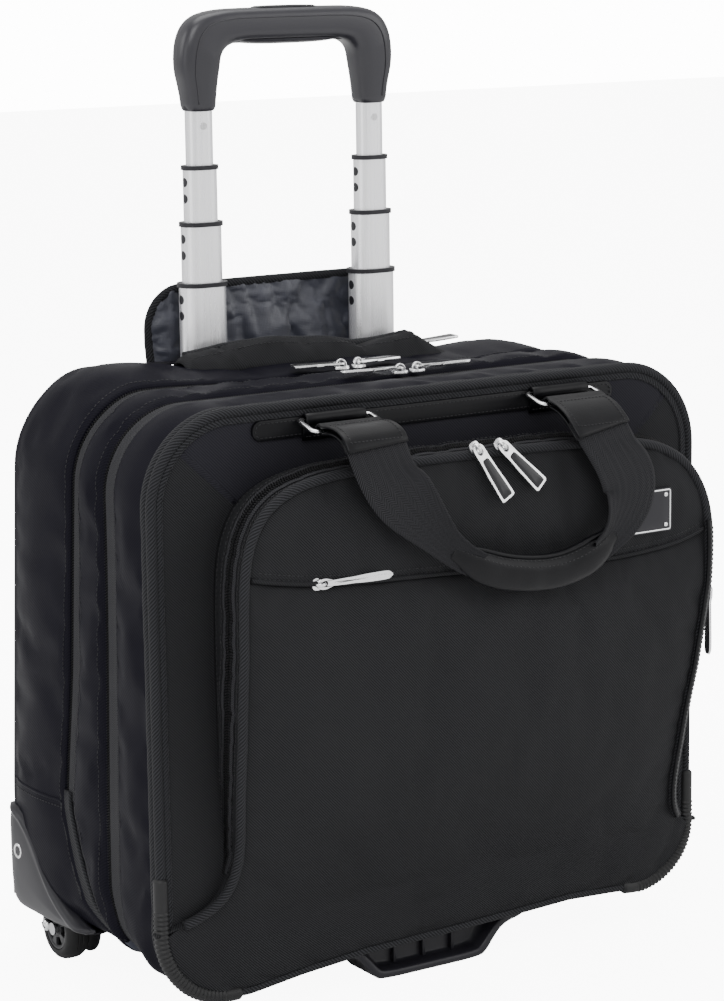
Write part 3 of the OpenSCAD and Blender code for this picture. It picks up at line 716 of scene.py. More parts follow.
# The light colours of the zip tape and webbing are painted highlight on their ribs; the dark colours are
# painted shade between them.
TAPE = chevron_material("zip tape", (0.0012, 0.0012, 0.0016), (0.034, 0.034, 0.038))
WEBBING = chevron_material("webbing", (0.0015, 0.0015, 0.0019), (0.026, 0.026, 0.029), 0.0040, 0.0016)
TOOTH = plain_material("coil", (0.002, 0.002, 0.0024), (0.0045, 0.0045, 0.005), 0.5, specular=0.12)
THREAD = plain_material("thread", (0.006, 0.006, 0.007), (0.012, 0.012, 0.014), 0.5)
# The yoke nylon's light colour is painted sheen on the weave's threads.
YOKE = nylon_material("yoke nylon", (0.006, 0.0058, 0.0078), (0.023, 0.0225, 0.0275))
LEATHER = leather_material("leather", (0.0012, 0.0012, 0.0018), (0.003, 0.003, 0.004))
# Both linings are painted with their dark colour in the dips of the crinkles as shade, and their light
# colour on the crests.
LINING = lining_material("grey lining", (0.012, 0.0135, 0.021), (0.034, 0.036, 0.052))
INSIDE = lining_material("inner lining", (0.035, 0.038, 0.052), (0.07, 0.074, 0.1))
RUBBER = plain_material("rubber", (0.0035, 0.0035, 0.004), (0.007, 0.007, 0.0075), 0.5)
SATIN = plain_material("satin plastic", (0.0075, 0.0072, 0.0095), (0.013, 0.0125, 0.0165), 0.4)
BOARD = plain_material("sheet plastic", (0.05, 0.05, 0.055), (0.065, 0.065, 0.07), 0.45)
GRIP = plain_material("soft grip", (0.011, 0.0105, 0.0138), (0.0185, 0.018, 0.0232), 0.33, specular=0.45)
TUBE = brushed_material("anodised tube", (0.93, 0.93, 0.97), (1.0, 1.0, 1.0), 0.27, 0.8)
NICKEL = brushed_material("nickel", (0.62, 0.62, 0.63), (0.84, 0.84, 0.85), 0.2)
STEEL = brushed_material("zinc steel", (0.4, 0.4, 0.41), (0.55, 0.55, 0.56), 0.35)
INLAY = plain_material("black inlay", (0.008, 0.008, 0.009), (0.014, 0.014, 0.016), 0.25)
TYRE = plain_material("tyre", (0.0035, 0.0035, 0.004), (0.007, 0.007, 0.0075), 0.55)
HUB = plain_material("hub", (0.014, 0.014, 0.0155), (0.025, 0.025, 0.0275), 0.4)


# ---------------------------------------------------------------- rear and middle sections
def ring_path(y, inset=0.0, low=None, first=0, last=RING):
    """3-D path and normals along the outline at a given y, which may change along the ring."""
    xz, nn = ring(low)
    y = np.broadcast_to(y, (RING,))
    idx = np.arange(first, last) % RING
    p = np.stack([xz[idx, 0] - inset * nn[idx, 0], y[idx], xz[idx, 1] - inset * nn[idx, 1]], 1)
    n = np.stack([nn[idx, 0], np.zeros(len(idx)), nn[idx, 1]], 1)
    return p, n


def sew_edges(obj, body, name, y, offset, first=0, last=RING, closed=False):
    """Stitch row laid on obj along the outline."""
    p, n = ring_path(y + offset, first=first, last=last)
    p, n = drape(obj, p, n)
    return stitches(name, p, n, body, closed=closed)


TAPE_SHOW = 9.0         # visible zip tape in front of the coil
COIL_EDGE = 1.1         # fabric edge behind the coil


def shell_sheet(y0, y1, cols, seed):
    """Soft wall between two hems, as points and uvs."""
    y, inset = hem_profile(y0, y1, cols, 3.0)
    p, uv, nn = band(y, inset, np.full(cols, SAG))
    return ruffle(p, nn, 1.1, 55.0, seed, fade_for(cols)[None]), uv


def pinned_cols(rows, cols):
    """True on the two outer columns of each side, which are sewn down."""
    mask = np.zeros((rows, cols), bool)
    mask[:, :2] = mask[:, -2:] = True
    return mask


def middle_section():
    """Wall of the main compartment, between the two zips."""
    cols = 15
    p, uv = shell_sheet(main_zip_y() + COIL_EDGE, rear_zip_y() - TAPE_SHOW - 2.6, cols, 1)
    obj = grid_object("middle_nylon", p, uv, closed=True)
    puff(obj, pinned_cols(RING, cols), pressure=1.4, slack=0.012, cap=1.9)
    finish_piece(obj, "case", NYLON, ["middle_shell"], thick=2.4, inner=INSIDE)
    sew_edges(obj, "case", "middle_front_stitches", main_zip_y(), COIL_EDGE + 5.5, closed=True)
    sew_edges(obj, "case", "middle_rear_stitches", rear_zip_y(), -TAPE_SHOW - 7.5, closed=True)


REAR_ROUND = 9.0         # rounding of the rear edge


def rear_section():
    """Wall of the laptop compartment, rounded into the rear face."""
    cols_side, cols_round = 14, 6
    start = rear_zip_y() + COIL_EDGE
    end = np.full(RING, BACK - REAR_ROUND)
    p, uv = shell_sheet(start, end, cols_side, 2)
    # the last columns meet the rounded edge without a fold
    tail = p[:, -4:].copy()
    xz = RING_XZ
    t = smoothstep(0, 1, np.linspace(0.25, 1, 4))[None]
    flat = np.stack([np.broadcast_to(xz[:, 0:1], (RING, 4)), p[:, -4:, 1],
                     np.broadcast_to(xz[:, 1:2], (RING, 4))], -1)
    p[:, -4:] = tail * (1 - t[..., None]) + flat * t[..., None]
    a = np.linspace(0, math.pi / 2, cols_round + 1)[1:]
    inset = REAR_ROUND * (1 - np.cos(a))[None]
    y = BACK - REAR_ROUND + REAR_ROUND * np.sin(a)[None]
    turn, uv2, _ = band(y, inset, np.full(cols_round, SAG))
    p = np.concatenate([p, turn], 1)
    uv = np.concatenate([uv, uv2], 1)
    obj = grid_object("rear_nylon", p, uv, closed=True)
    pinned = pinned_cols(RING, p.shape[1])
    pinned[:, cols_side - 2:] = True
    puff(obj, pinned, pressure=1.4, slack=0.010, cap=1.9)
    cut_well(obj)
    finish_piece(obj, "case", NYLON, ["rear_shell"], thick=2.4, inner=INSIDE)
    sew_edges(obj, "case", "rear_stitches_left", rear_zip_y(), COIL_EDGE + 5.0, first=LEFT_SIDE,
              last=TOP_LEFT + 9)
    sew_edges(obj, "case", "rear_stitches_right", rear_zip_y(), COIL_EDGE + 5.0,
              first=TOP_RIGHT - 9, last=RIGHT_LOW)
    back_panel(p[:, -1])
    lower_trim(obj)


def lower_trim(rear):
    """Twill strip that closes the rear seam below its zip, and the reinforced lower rear corners."""
    p, n = ring_path(rear_zip_y(), 1.0)
    run = list(range(ZIP_END_RIGHT - 2, RING)) + list(range(0, ZIP_END_LEFT + 2))
    section = np.array([(-7.0, -1.0), (-7.4, 0.6), (-6.2, 1.8), (-4.8, 0.9), (4.8, 0.9), (6.2, 1.8),
                        (7.4, 0.6), (7.0, -1.0)])
    obj = sweep("rear_seam_strip", p[run], n[run], section)
    finish_piece(obj, "case", CORD)
    p, n = ring_path(rear_zip_y(), ZIP_BACKING)
    strip("rear_seam_backing", p[run], n[run], zip_side(-1) * 4.0, 21.0, "case", INSIDE)
    p, n = ring_path(main_zip_y(), 1.4)
    run = list(range(LOW_RIGHT - 3, RING)) + list(range(0, LEFT_LOW + 4))
    obj = sweep("bottom_hinge_cloth", p[run], n[run], section * [1.5, 1])
    finish_piece(obj, "case", NYLON)
    for s, tag in ((-1, "left"), (1, "right")):
        line = np.column_stack([np.full(60, s * HALF_W), np.linspace(26, BACK - 8, 60), np.full(60, 126.0)])
        out = np.tile([float(s), 0, 0], (60, 1))
        q, m = drape(rear, line, out)
        fold = sweep(f"corner_patch_edge_{tag}", q, m,
                     np.array([(-1.6, -0.4), (-0.9, 0.5), (0.7, 0.7), (1.5, -0.4)]))
        finish_piece(fold, "case", NYLON)
        q, m = drape(rear, line - [0, 0, 4.5], out)
        stitches(f"corner_patch_stitches_{tag}", q, m, "case", pitch=3.4)


def cut_well(obj):
    """Opens the top for the handle well."""
    bm = bmesh.new()
    bm.from_mesh(obj.data)
    low, high = low_high("handle_cup")
    gone = []
    for f in bm.faces:
        c = np.array(f.calc_center_median()) / MM - SHIFT
        if low[0] - 3 < c[0] < high[0] + 3 and low[1] - 3 < c[1] < high[1] + 1 and c[2] > TOP - 15:
            gone.append(f)
    bmesh.ops.delete(bm, geom=gone, context="FACES")
    bm.to_mesh(obj.data)
    bm.free()


def filled(edge, nu, nv):
    """Grid that fills the outline, with its corners in the middle of the rounded corners."""
    corner = LEFT_TOP + CORNER_TOP // 2
    corner_r = TOP_RIGHT + CORNER_TOP // 2
    low_l = LEFT_LOW + CORNER_LOW // 2
    low_r = RIGHT_LOW + CORNER_LOW // 2
    left = edge[np.arange(corner, low_l - 1, -1)]
    right = edge[np.arange(corner_r, low_r + 1)]
    top = edge[np.arange(corner, corner_r + 1)]
    bottom = edge[np.arange(low_l, low_r - RING - 1, -1) % RING]
    return panel(left, right, top, bottom, nu, nv)


def back_panel(edge):
    """Rear face, quilted by two stitched lines, with the cord piping round it."""
    p = filled(edge, 60, 52)
    d = edge_distance(p, edge)
    crown = 3.0 * (1 - np.exp(-d / 22.0))
    crown += fold_noise(p, 70.0, 5) * 0.9 * smoothstep(0, 30, d)
    p[..., 1] = BACK - 0.6 + crown
    obj = grid_object("rear_face", p, p[..., [0, 2]] * MM, flip=True)
    finish_piece(obj, "case", NYLON, thick=2.0, inner=INSIDE)
    cord = sweep("rear_piping", edge + [0, 0.2, 0], -front_normals(len(edge)), round_section(2.4, 10),
                 closed=True)
    finish_piece(cord, "case", CORD)
    for k, z in enumerate((330.0, 118.0)):
        line = np.stack([np.linspace(-196, 196, 120), np.full(120, BACK), np.full(120, z)], 1)
        q, m = drape(obj, line, -front_normals(120))
        stitches(f"rear_face_stitches_{k}", q, m, "case")
        rib = sweep(f"rear_face_seam_{k}", q + m * 0.1, m, flat_section(7.0, 1.4))
        finish_piece(rib, "case", NYLON)


ZIP_BACKING = 4.6        # depth of the cloth that backs a coil, below the outline


def zip_run(name, y, body_front, body_rear, first, last):
    """A coil zip along the outline: tape, its backing and two rows of coil."""
    p, n = ring_path(y, 2.8, first=first, last=last)
    strip(f"{name}_tape_front", p, n, zip_side(-1) * 8.4, 12.5, body_front, TAPE, lift=0.9)
    strip(f"{name}_tape_rear", p, n, zip_side(1) * 5.4, 6.5, body_rear, TAPE)
    p, n = ring_path(y, ZIP_BACKING, first=first, last=last)
    strip(f"{name}_backing_front", p, n, zip_side(-1) * 7.5, 14.6, body_front, INSIDE)
    strip(f"{name}_backing_rear", p, n, zip_side(1) * 3.6, 6.8, body_rear, INSIDE)
    q, _ = resample(np.hstack(ring_path(y, 2.6, first=first, last=last)), step=ZIP_STEP)
    teeth(f"{name}_coil_front", q[:, :3], q[:, 3:], zip_side(-1), body_front)
    teeth(f"{name}_coil_rear", q[:, :3], q[:, 3:], zip_side(1), body_rear)


def zip_side(sign):
    """Side vector along the outline points to +Y or -Y: +1 is the rear side."""
    p, n = ring_path(0.0)
    return sign * (1.0 if side_vectors(p, n, True)[0][1] > 0 else -1.0)


# ---------------------------------------------------------------- front section
EDGE_BAND_Y = -91.0


def front_low(y):
    """Height of the underside, which falls towards the front panel."""
    return SAG + (LIP + 1 - SAG) * smoothstep(-58, FRONT + 2, y)


def front_gusset():
    """Soft wall of the front section, with a twill band behind the piping."""
    cols = 16
    y0 = np.full(RING, FRONT + 3.0)
    y1 = main_zip_y() - TAPE_SHOW - 2.4
    _, inset = hem_profile(y0, y1, cols, 3.0)
    y = y0[:, None] + (y1 - y0)[:, None] * np.linspace(0, 1, cols)[None]
    lows = front_low(y.mean(0))
    p, uv, nn = band(y, inset * 0.8, lows)
    p = ruffle(p, nn, 1.0, 48.0, 7, fade_for(cols)[None])
    first, last = LEFT_LOW - 1, LOW_RIGHT + 2
    p, uv = p[first:last], uv[first:last]
    obj = grid_object("front_gusset", p, uv)
    puff(obj, edge_mask(*p.shape[:2], 2), pressure=1.5, slack=0.008, cap=2.0)
    finish_piece(obj, "front_section", NYLON, ["front_shell"], thick=2.4, inner=INSIDE)
    sew_edges(obj, "front_section", "gusset_stitches", main_zip_y() - TAPE_SHOW, -7.5, first + 2, last - 2)
    q, n = ring_path(EDGE_BAND_Y, first=LEFT_LOW, last=LOW_RIGHT + 1, low=front_low(EDGE_BAND_Y))
    q, n = drape(obj, q, n)
    belt = sweep("gusset_twill_band", q + n * 0.4, n, np.array(
        [(4.2, 0), (3.7, 1.5), (2.0, 2.6), (0, 3.0), (-2.0, 2.6), (-3.7, 1.5), (-4.2, 0), (0, -0.8)]))
    finish_piece(belt, "front_section", CORD)


def front_outline(inset=0.0, y=FRONT, first=0, last=RING):
    """Path and normals round the front panel."""
    return ring_path(y, inset, low=LIP, first=first, last=last)


YOKE_CORNER = np.array([201.0, 390.0])       # seam's end at the piping
YOKE_POCKET = np.array([156.0, 348.0])       # seam's end at the pocket's corner


def front_face():
    """Front panel: twill below, smooth nylon yoke above, and a folded seam between them."""
    edge, _ = front_outline(inset=0.5)
    p = filled(edge, 150, 120)
    d = edge_distance(p, edge)
    waves = fold_noise(p, 60.0, 8) * 0.8
    p[..., 1] = FRONT - 0.6 - 2.0 * (1 - np.exp(-d / 16.0)) + waves * smoothstep(0, 25, d)
    seam = abs_line(p)
    p[..., 1] += 1.2 * np.exp(-(seam / 1.8) ** 2)
    obj = grid_object("front_face", p, p[..., [0, 2]] * MM)
    for material in (TWILL, YOKE, INSIDE):
        obj.data.materials.append(material)
    for f in obj.data.polygons:
        c = np.array(f.center) / MM - SHIFT
        f.material_index = 1 if above_seam(c[0], c[2]) > 0 else 0
    modifier(obj, "SOLIDIFY", thickness=3.0 * MM, offset=-1.0, material_offset=2)
    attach(obj, "front_section")
    for s in (-1, 1):
        a, b = YOKE_CORNER * [s, 1], YOKE_POCKET * [s, 1]
        a = a + (a - b) * 0.06
        line = np.linspace(a, b, 40)
        q = np.stack([line[:, 0], np.full(40, FRONT), line[:, 1]], 1)
        q, m = drape(obj, q, front_normals(40))
        fold = sweep(f"yoke_seam_fold_{'l' if s < 0 else 'r'}", q, m,
                     np.array([(-2.4, -0.5), (-1.9, 0.3), (0, 0.6), (1.9, 0.3), (2.4, -0.5)]))
        finish_piece(fold, "front_section", YOKE)


def above_seam(x, z):
    """Signed distance above the yoke's seam, which dips from the piping to the pocket's corners."""
    d = unit(YOKE_CORNER - YOKE_POCKET)
    return (z - YOKE_POCKET[1]) * d[0] - (np.abs(x) - YOKE_POCKET[0]) * d[1]


def abs_line(p):
    """Distance from the yoke's seam, or far off where there is none."""
    d = np.abs(above_seam(p[..., 0], p[..., 2]))
    return np.where(np.abs(p[..., 0]) > YOKE_POCKET[0] - 10, d, 99.0)


def main_piping():
    """Cord round the front panel, its flat welt and the stitches beside it."""
    path, n = front_outline(inset=-0.3, y=FRONT - 0.5)
    n = unit(n + np.array([0, -0.9, 0]))
    cord = sweep("front_cord", path, n, round_section(3.5, 14), closed=True)
    finish_piece(cord, "front_section", CORD, ["front_piping"])
    path, _ = front_outline(inset=5.2, y=FRONT - 1.6)
    welt = sweep("front_cord_welt", path, front_normals(RING), flat_section(5.0, 1.4), closed=True)
    finish_piece(welt, "front_section", CORD)
    path, _ = front_outline(inset=6.6, y=FRONT - 2.4)
    stitches("front_cord_stitches", path, front_normals(RING), "front_section", closed=True)


def corner_guards():
    """Rubber sleeves on the lower front corners: smooth ends with ribs between."""
    for s, side in ((-1, "left"), (1, "right")):
        path, n = front_outline(inset=-0.6, y=FRONT - 0.8, first=LEFT_LOW - 1, last=LEFT_SIDE + 7)
        if s > 0:
            path[:, 0] = np.abs(path[:, 0])
            n[:, 0] = np.abs(n[:, 0])
        n = unit(n + np.array([0, -0.8, 0]))
        both, t = resample(np.hstack([path, n]), step=0.45)
        length = t[-1]
        rib = 0.5 - 0.5 * np.cos(t * 2 * math.pi / 3.1)
        zone = smoothstep(11, 13, t) * (1 - smoothstep(length - 23, length - 20, t))
        scale = 1.0 + 0.17 * zone * (rib - 0.3)
        scale *= 1 - 0.25 * np.exp(-(np.minimum(t, length - t) / 0.9) ** 2)
        sec = round_section(4.9, 20)
        obj = sweep(f"corner_sleeve_{side}", both[:, :3], both[:, 3:], sec, scale=scale)
        finish_piece(obj, "front_section", RUBBER, ["corner_guards"] if s < 0 else ())


# pocket: left and right edges in front view, from the left flare over the top to the right flare
POCKET_EDGE = [(-222, 71), (-210, 72.5), (-199, 75), (-188, 79), (-178, 85), (-171, 93), (-167, 103),
               (-165, 118), (-167, 142), (-170, 180), (-171, 230), (-171, 275), (-170, 305), (-166, 326),
               (-157, 343), (-143, 354), (-124, 361), (-96, 364.5), (-40, 366), (40, 365.5), (110, 363),
               (146, 359), (168, 351), (185, 339), (197, 321), (203, 300), (203.5, 270), (200.5, 235),
               (197, 205), (194, 175), (192.5, 150), (191.8, 124), (192.5, 105), (195, 91), (200, 80),
               (209, 73.5), (222, 71)]
SEAM = [(-171, 304), (-150, 299.5), (-125, 295.5), (-80, 291.5), (-2, 288.5), (60, 284), (116, 281.5),
        (167, 284.5), (190, 290), (203.5, 294)]


POCKET_HALF = 210                   # samples up one side of the pocket, as far as the middle of its top


def pocket_depth(z):
    """How far the pocket's edge stands in front of the panel."""
    return np.interp(z, [20, 50, 72, 95, 137, 195, 255, 400], [3.2, 4.0, 5.5, 11.0, 21.0, 32.0, 38.0, 38.0])


def pocket_path():
    """The pocket's edge in space."""
    xz = smooth_path(POCKET_EDGE, 3)
    xz, _ = resample(xz, count=2 * POCKET_HALF)
    y = FRONT - pocket_depth(xz[:, 1])
    return np.stack([xz[:, 0], y, xz[:, 1]], 1)


def path_out(path):
    """Outward normals of the pocket's edge in front view."""
    t = tangents(path * [1, 0, 1])
    return unit(np.stack([-t[:, 2], np.zeros(len(t)), t[:, 0]], 1))


def seam_z(x):
    """Height of the slot pocket's seam across the face."""
    q = smooth_path(SEAM, 3)
    return np.interp(x, q[:, 0], q[:, 1])


def pocket():
    """Front pocket: gusset, two faces, piping, zip and leather edge."""
    edge = pocket_path()
    out = path_out(edge)
    seam_l = int(np.argmin(np.abs(edge[:POCKET_HALF, 2] - SEAM[0][1])))
    seam_r = POCKET_HALF + int(np.argmin(np.abs(edge[POCKET_HALF:, 2] - SEAM[-1][1])))
    cols = 9
    t = np.linspace(0, 1, cols)
    base = edge + out * 1.5
    base[:, 1] = FRONT - 1.5
    p = base[:, None] * (1 - t)[None, :, None] + edge[:, None] * t[None, :, None]
    depth = (base[:, 1] - edge[:, 1])[:, None]
    bulge = np.sin(math.pi * t)[None] * np.clip(depth * 0.09, 0, 3.2)
    p = p + out[:, None] * bulge[..., None]
    n = fold_noise(p, 26.0, 11) * np.sin(math.pi * t)[None] * np.clip(depth / 38, 0, 1)
    p = p + out[:, None] * (n * 1.1)[..., None]
    s = run_length(edge)
    uv = np.stack([np.broadcast_to(s[:, None], (len(s), cols)), -p[..., 1]], -1) * MM
    gusset = grid_object("pocket_gusset", p, uv, flip=True)
    puff(gusset, pinned_cols(len(edge), cols), pressure=1.6, slack=0.012, cap=1.8)
    finish_piece(gusset, "front_section", TWILL, ["front_pocket"], thick=2.0, inner=INSIDE)
    pocket_upper(edge, seam_l, seam_r)
    pocket_lower(edge, seam_l, seam_r)
    piping = edge + out * 0.6 + np.array([0, -0.6, 0])
    keep = slice(9, -9)
    nrm = unit(out + np.array([0, -0.8, 0]))
    cord = sweep("pocket_cord", piping[keep], nrm[keep], round_section(3.3, 12))
    finish_piece(cord, "front_section", CORD, ["pocket_piping"])
    q, m = drape(gusset, base + out * 0.5 + np.array([0, -6.0, 0]), out)
    low_cut = slice(60, -60)
    stitches("pocket_base_stitches", q[low_cut], m[low_cut], "front_section")
    pocket_zip(gusset, edge, out)
    edge_trim(edge, out)


def edge_trim(edge, out):
    """Leather binding down the right edge of the pocket, stitched along its inner side."""
    run = np.flatnonzero((edge[:, 0] > 150) & (edge[:, 2] < 300) & (edge[:, 2] > 78))
    n = unit(out[run] * 0.75 + np.array([0, -1.0, 0]))
    p = edge[run] - out[run] * 0.6 + n * 3.0
    section = np.array([(-4.6, -1.4), (-4.4, 0.3), (-3.2, 1.0), (0, 1.4), (3.2, 1.0), (4.4, 0.3),
                        (4.6, -1.4)])
    obj = sweep("pocket_edge_leather", p, n, section)
    finish_piece(obj, "front_section", LEATHER)
    for k, off in enumerate((-2.9, 2.9)):
        q = p + side_vectors(p, n) * off + n * 1.05
        stitches(f"pocket_edge_leather_stitches_{k}", q[3:-3], n[3:-3], "front_section", pitch=3.2)


def crown_of(p, boundary, height, fall, seed):
    """How far a padded face stands out, with puckers, and the distance from its boundary."""
    d = edge_distance(p, boundary)
    puckers = fold_noise(p, 34.0, seed) * 1.5 + fold_noise(p * [1.0, 1, 0.55], 16.0, seed + 1) * 0.7
    return height * (1 - np.exp(-d / fall)) + puckers * smoothstep(0, 22, d), d


def pocket_upper(edge, seam_l, seam_r):
    """Face above the slot seam, with its stitches and the folded edge of the slot."""
    rising, falling = edge[:POCKET_HALF], edge[POCKET_HALF:]
    tl = int(np.argmin(np.abs(rising[:, 2] + rising[:, 0] - 167) + 99 * (rising[:, 2] < 320)))
    tr = int(np.argmin(np.abs(falling[:, 2] - falling[:, 0] - 183) + 99 * (falling[:, 2] < 320)))
    tr += POCKET_HALF
    left = edge[seam_l:tl + 1][::-1]
    right = edge[tr:seam_r + 1]
    top = edge[tl:tr + 1]
    x = np.linspace(edge[seam_l, 0], edge[seam_r, 0], 120)
    bottom = np.stack([x, np.interp(x, [x[0], x[-1]], [left[-1][1], right[-1][1]]), seam_z(x)], 1)
    p = panel(left, right, top, bottom, 130, 34)
    boundary = np.vstack([left, right, top])
    rise, d = crown_of(p, boundary, 7.5, 17.0, 21)
    seam_gap = p[..., 2] - seam_z(p[..., 0])
    hang = 0.5 * np.exp(-(seam_gap / 7.0) ** 2)
    rise = rise * (1 - 0.62 * np.exp(-(seam_gap / 15.0) ** 2))
    p[..., 1] -= rise + hang * smoothstep(0, 12, d)
    obj = grid_object("pocket_face_upper", p, p[..., [0, 2]] * MM)
    puff(obj, edge_mask(*p.shape[:2]), pressure=1.5, slack=0.008, cap=2.2)
    finish_piece(obj, "front_section", TWILL, thick=2.2, inner=INSIDE)

    def above_slot(x0, x1, gap):
        x = np.linspace(x0, x1, 160)
        line = np.stack([x, np.full(160, POCKET_FACE), seam_z(x) + gap], 1)
        return drape(obj, line, front_normals(160), reach=30)

    for k, gap in enumerate((3.0, 6.6)):
        q, m = above_slot(-160, 194, gap)
        stitches(f"slot_stitches_{k}", q, m, "front_section")
    q, m = above_slot(-166, 199, 0.9)
    fold = sweep("slot_edge_fold", q + m * 0.2, m, flat_section(3.4, 2.6))
    finish_piece(fold, "front_section", TWILL)


def pocket_lower(edge, seam_l, seam_r):
    """Face below the slot seam, carried down to the case's lower edge over the full width."""
    foot, _ = front_outline(inset=1.5)
    left_edge = edge[:seam_l + 1][::-1]
    right_edge = edge[seam_r:]
    low_left = foot[LEFT_LOW:LEFT_SIDE + 3][::-1]
    low_right = foot[RIGHT_LOW - 2:LOW_RIGHT + 1]
    left = np.vstack([left_edge[left_edge[:, 2] > 73.5], low_left[low_left[:, 2] < 71]])
    right = np.vstack([right_edge[right_edge[:, 2] > 75.5], low_right[low_right[:, 2] < 72]])
    rows, nu = 120, 150
    zl = np.linspace(left[0, 2] - 0.5, LIP + 1.5, rows)
    share = (zl[0] - zl) / (zl[0] - zl[-1])
    xl = np.interp(-zl, -left[:, 2], left[:, 0])
    xr = np.interp(-(right[0, 2] - share * (right[0, 2] - LIP - 1.5)), -right[:, 2], right[:, 0])
    u = np.linspace(0, 1, nu)
    x = xl[:, None] * (1 - u) + xr[:, None] * u
    z_top = seam_z(x)
    z = z_top + (LIP + 1.5 - z_top) * share[:, None]
    y = FRONT - pocket_depth(z)
    p = np.stack([x, y, z], -1)
    boundary = np.vstack([left, right])
    rise, d = crown_of(p, boundary, 7.5, 17.0, 31)
    high = smoothstep(60, 170, z)
    low_rise = 2.0 * (1 - np.exp(-d / 10.0)) + fold_noise(p, 30.0, 33) * 1.2 * smoothstep(0, 16, d)
    bottom_fade = smoothstep(LIP, LIP + 12, z)
    rise = rise * (1 - 0.62 * np.exp(-((z_top - z) / 15.0) ** 2))
    p[..., 1] -= (rise * high + low_rise * (1 - high) * bottom_fade)
    tuck = np.exp(-((z_top - z) / 5.0) ** 2)
    p[..., 1] += 1.6 * tuck * smoothstep(0, 12, d)
    obj = grid_object("pocket_face_lower", p, p[..., [0, 2]] * MM)
    puff(obj, edge_mask(*p.shape[:2]), pressure=1.4, slack=0.008, cap=2.4)
    finish_piece(obj, "front_section", TWILL, thick=2.2, inner=INSIDE)


def pocket_zip(gusset, edge, out):
    """The pocket's main zip on its gusset, near the face: up the left, over the top, down the right."""
    a = int(np.argmin(np.abs(edge[:POCKET_HALF, 2] - 104)))
    b = POCKET_HALF + int(np.argmin(np.abs(edge[POCKET_HALF:, 2] - 320)))
    mid = edge[a:b].copy()
    mid[:, 1] += 12.0
    q, m = drape(gusset, mid, out[a:b])
    q, m = even_frames(q, m, ZIP_STEP)
    groove = sweep("pocket_zip_tape", q + m * 0.3, m, flat_section(11.0, 1.2))
    finish_piece(groove, "front_section", TAPE)
    for s, tag in ((-1, "a"), (1, "b")):
        teeth(f"pocket_coil_{tag}", q + m, m, s, "front_section")
        beside = q + side_vectors(q, m) * (s * 7.4) + m * 0.35
        stitches(f"pocket_zip_stitches_{tag}", beside, m, "front_section")


# ---------------------------------------------------------------- carry handle and its fittings
def front_normals(count):
    """Normals that face the front."""
    return np.tile([0, -1.0, 0], (count, 1))


def rounded_rect(x0, x1, z0, z1, r, count=14):
    """Outline of a rectangle with rounded corners."""
    pts = []
    for cx, cz, a0 in ((x1 - r, z0 + r, -90), (x1 - r, z1 - r, 0), (x0 + r, z1 - r, 90),
                       (x0 + r, z0 + r, 180)):
        for a in np.linspace(a0, a0 + 90, count):
            pts.append((cx + r * math.cos(math.radians(a)), cz + r * math.sin(math.radians(a))))
    return np.array(pts)


def slab(name, outline, place, across, up, out, thick, edge=0.5, dome=0.0):
    """A flat plate with rounded edges: outline is 2-D, place is its origin, out its outward normal."""
    outline = np.asarray(outline, float)
    across, up, out = (np.asarray(v, float) for v in (across, up, out))
    centre = outline.mean(0)
    rings = [(0.0, 0.0), (0.0, thick - edge), (edge * 0.3, thick - edge * 0.3), (edge, thick)]
    verts, faces = [], []
    n = len(outline)
    nrm = outline - centre
    t = np.roll(outline, -1, 0) - np.roll(outline, 1, 0)
    inward = unit(np.stack([-t[:, 1], t[:, 0]], 1))
    if np.mean(np.sum(inward * nrm, 1)) > 0:
        inward = -inward
    for inset, h in rings:
        q = outline + inward * inset
        verts.append(q[:, :1] * across + q[:, 1:] * up + out * h)
    verts.append(((outline + inward * edge - centre) * 0.5 + centre) @ np.stack([across, up])
                 + out * (thick + dome))
    verts = np.vstack(verts + [centre[None] @ np.stack([across, up]) + out * (thick + dome * 1.25)]) + place
    for r in range(len(rings)):
        for i in range(n):
            j = (i + 1) % n
            faces.append((r * n + i, r * n + j, (r + 1) * n + j, (r + 1) * n + i))
    last = len(rings) * n
    for i in range(n):
        faces.append((last + i, last + (i + 1) % n, last + n))
    faces.append(tuple(range(n))[::-1])
    if np.dot(np.cross(across, up), out) < 0:
        faces = [f[::-1] for f in faces]
    area = np.sum(outline[:, 0] * np.roll(outline[:, 1], -1) - np.roll(outline[:, 0], -1) * outline[:, 1])
    if area < 0:
        faces = [f[::-1] for f in faces]
    obj = make_object(name, verts, faces)
    shade_by_angle(obj)
    return obj


def shade_by_angle(obj, degrees=38.0):
    """Keeps corners crisp on a smooth-shaded mesh."""
    mesh = obj.data
    bm = bmesh.new()
    bm.from_mesh(mesh)
    for e in bm.edges:
        if len(e.link_faces) == 2 and e.calc_face_angle(0.0) > math.radians(degrees):
            e.smooth = False
    bm.to_mesh(mesh)
    bm.free()


RING_X = (-82.0, 98.0)
RING_REAR = np.array([FRONT - 6.2, 396.0])
RING_FRONT = np.array([FRONT - 24.5, 391.0])
RING_HALF = 27.0


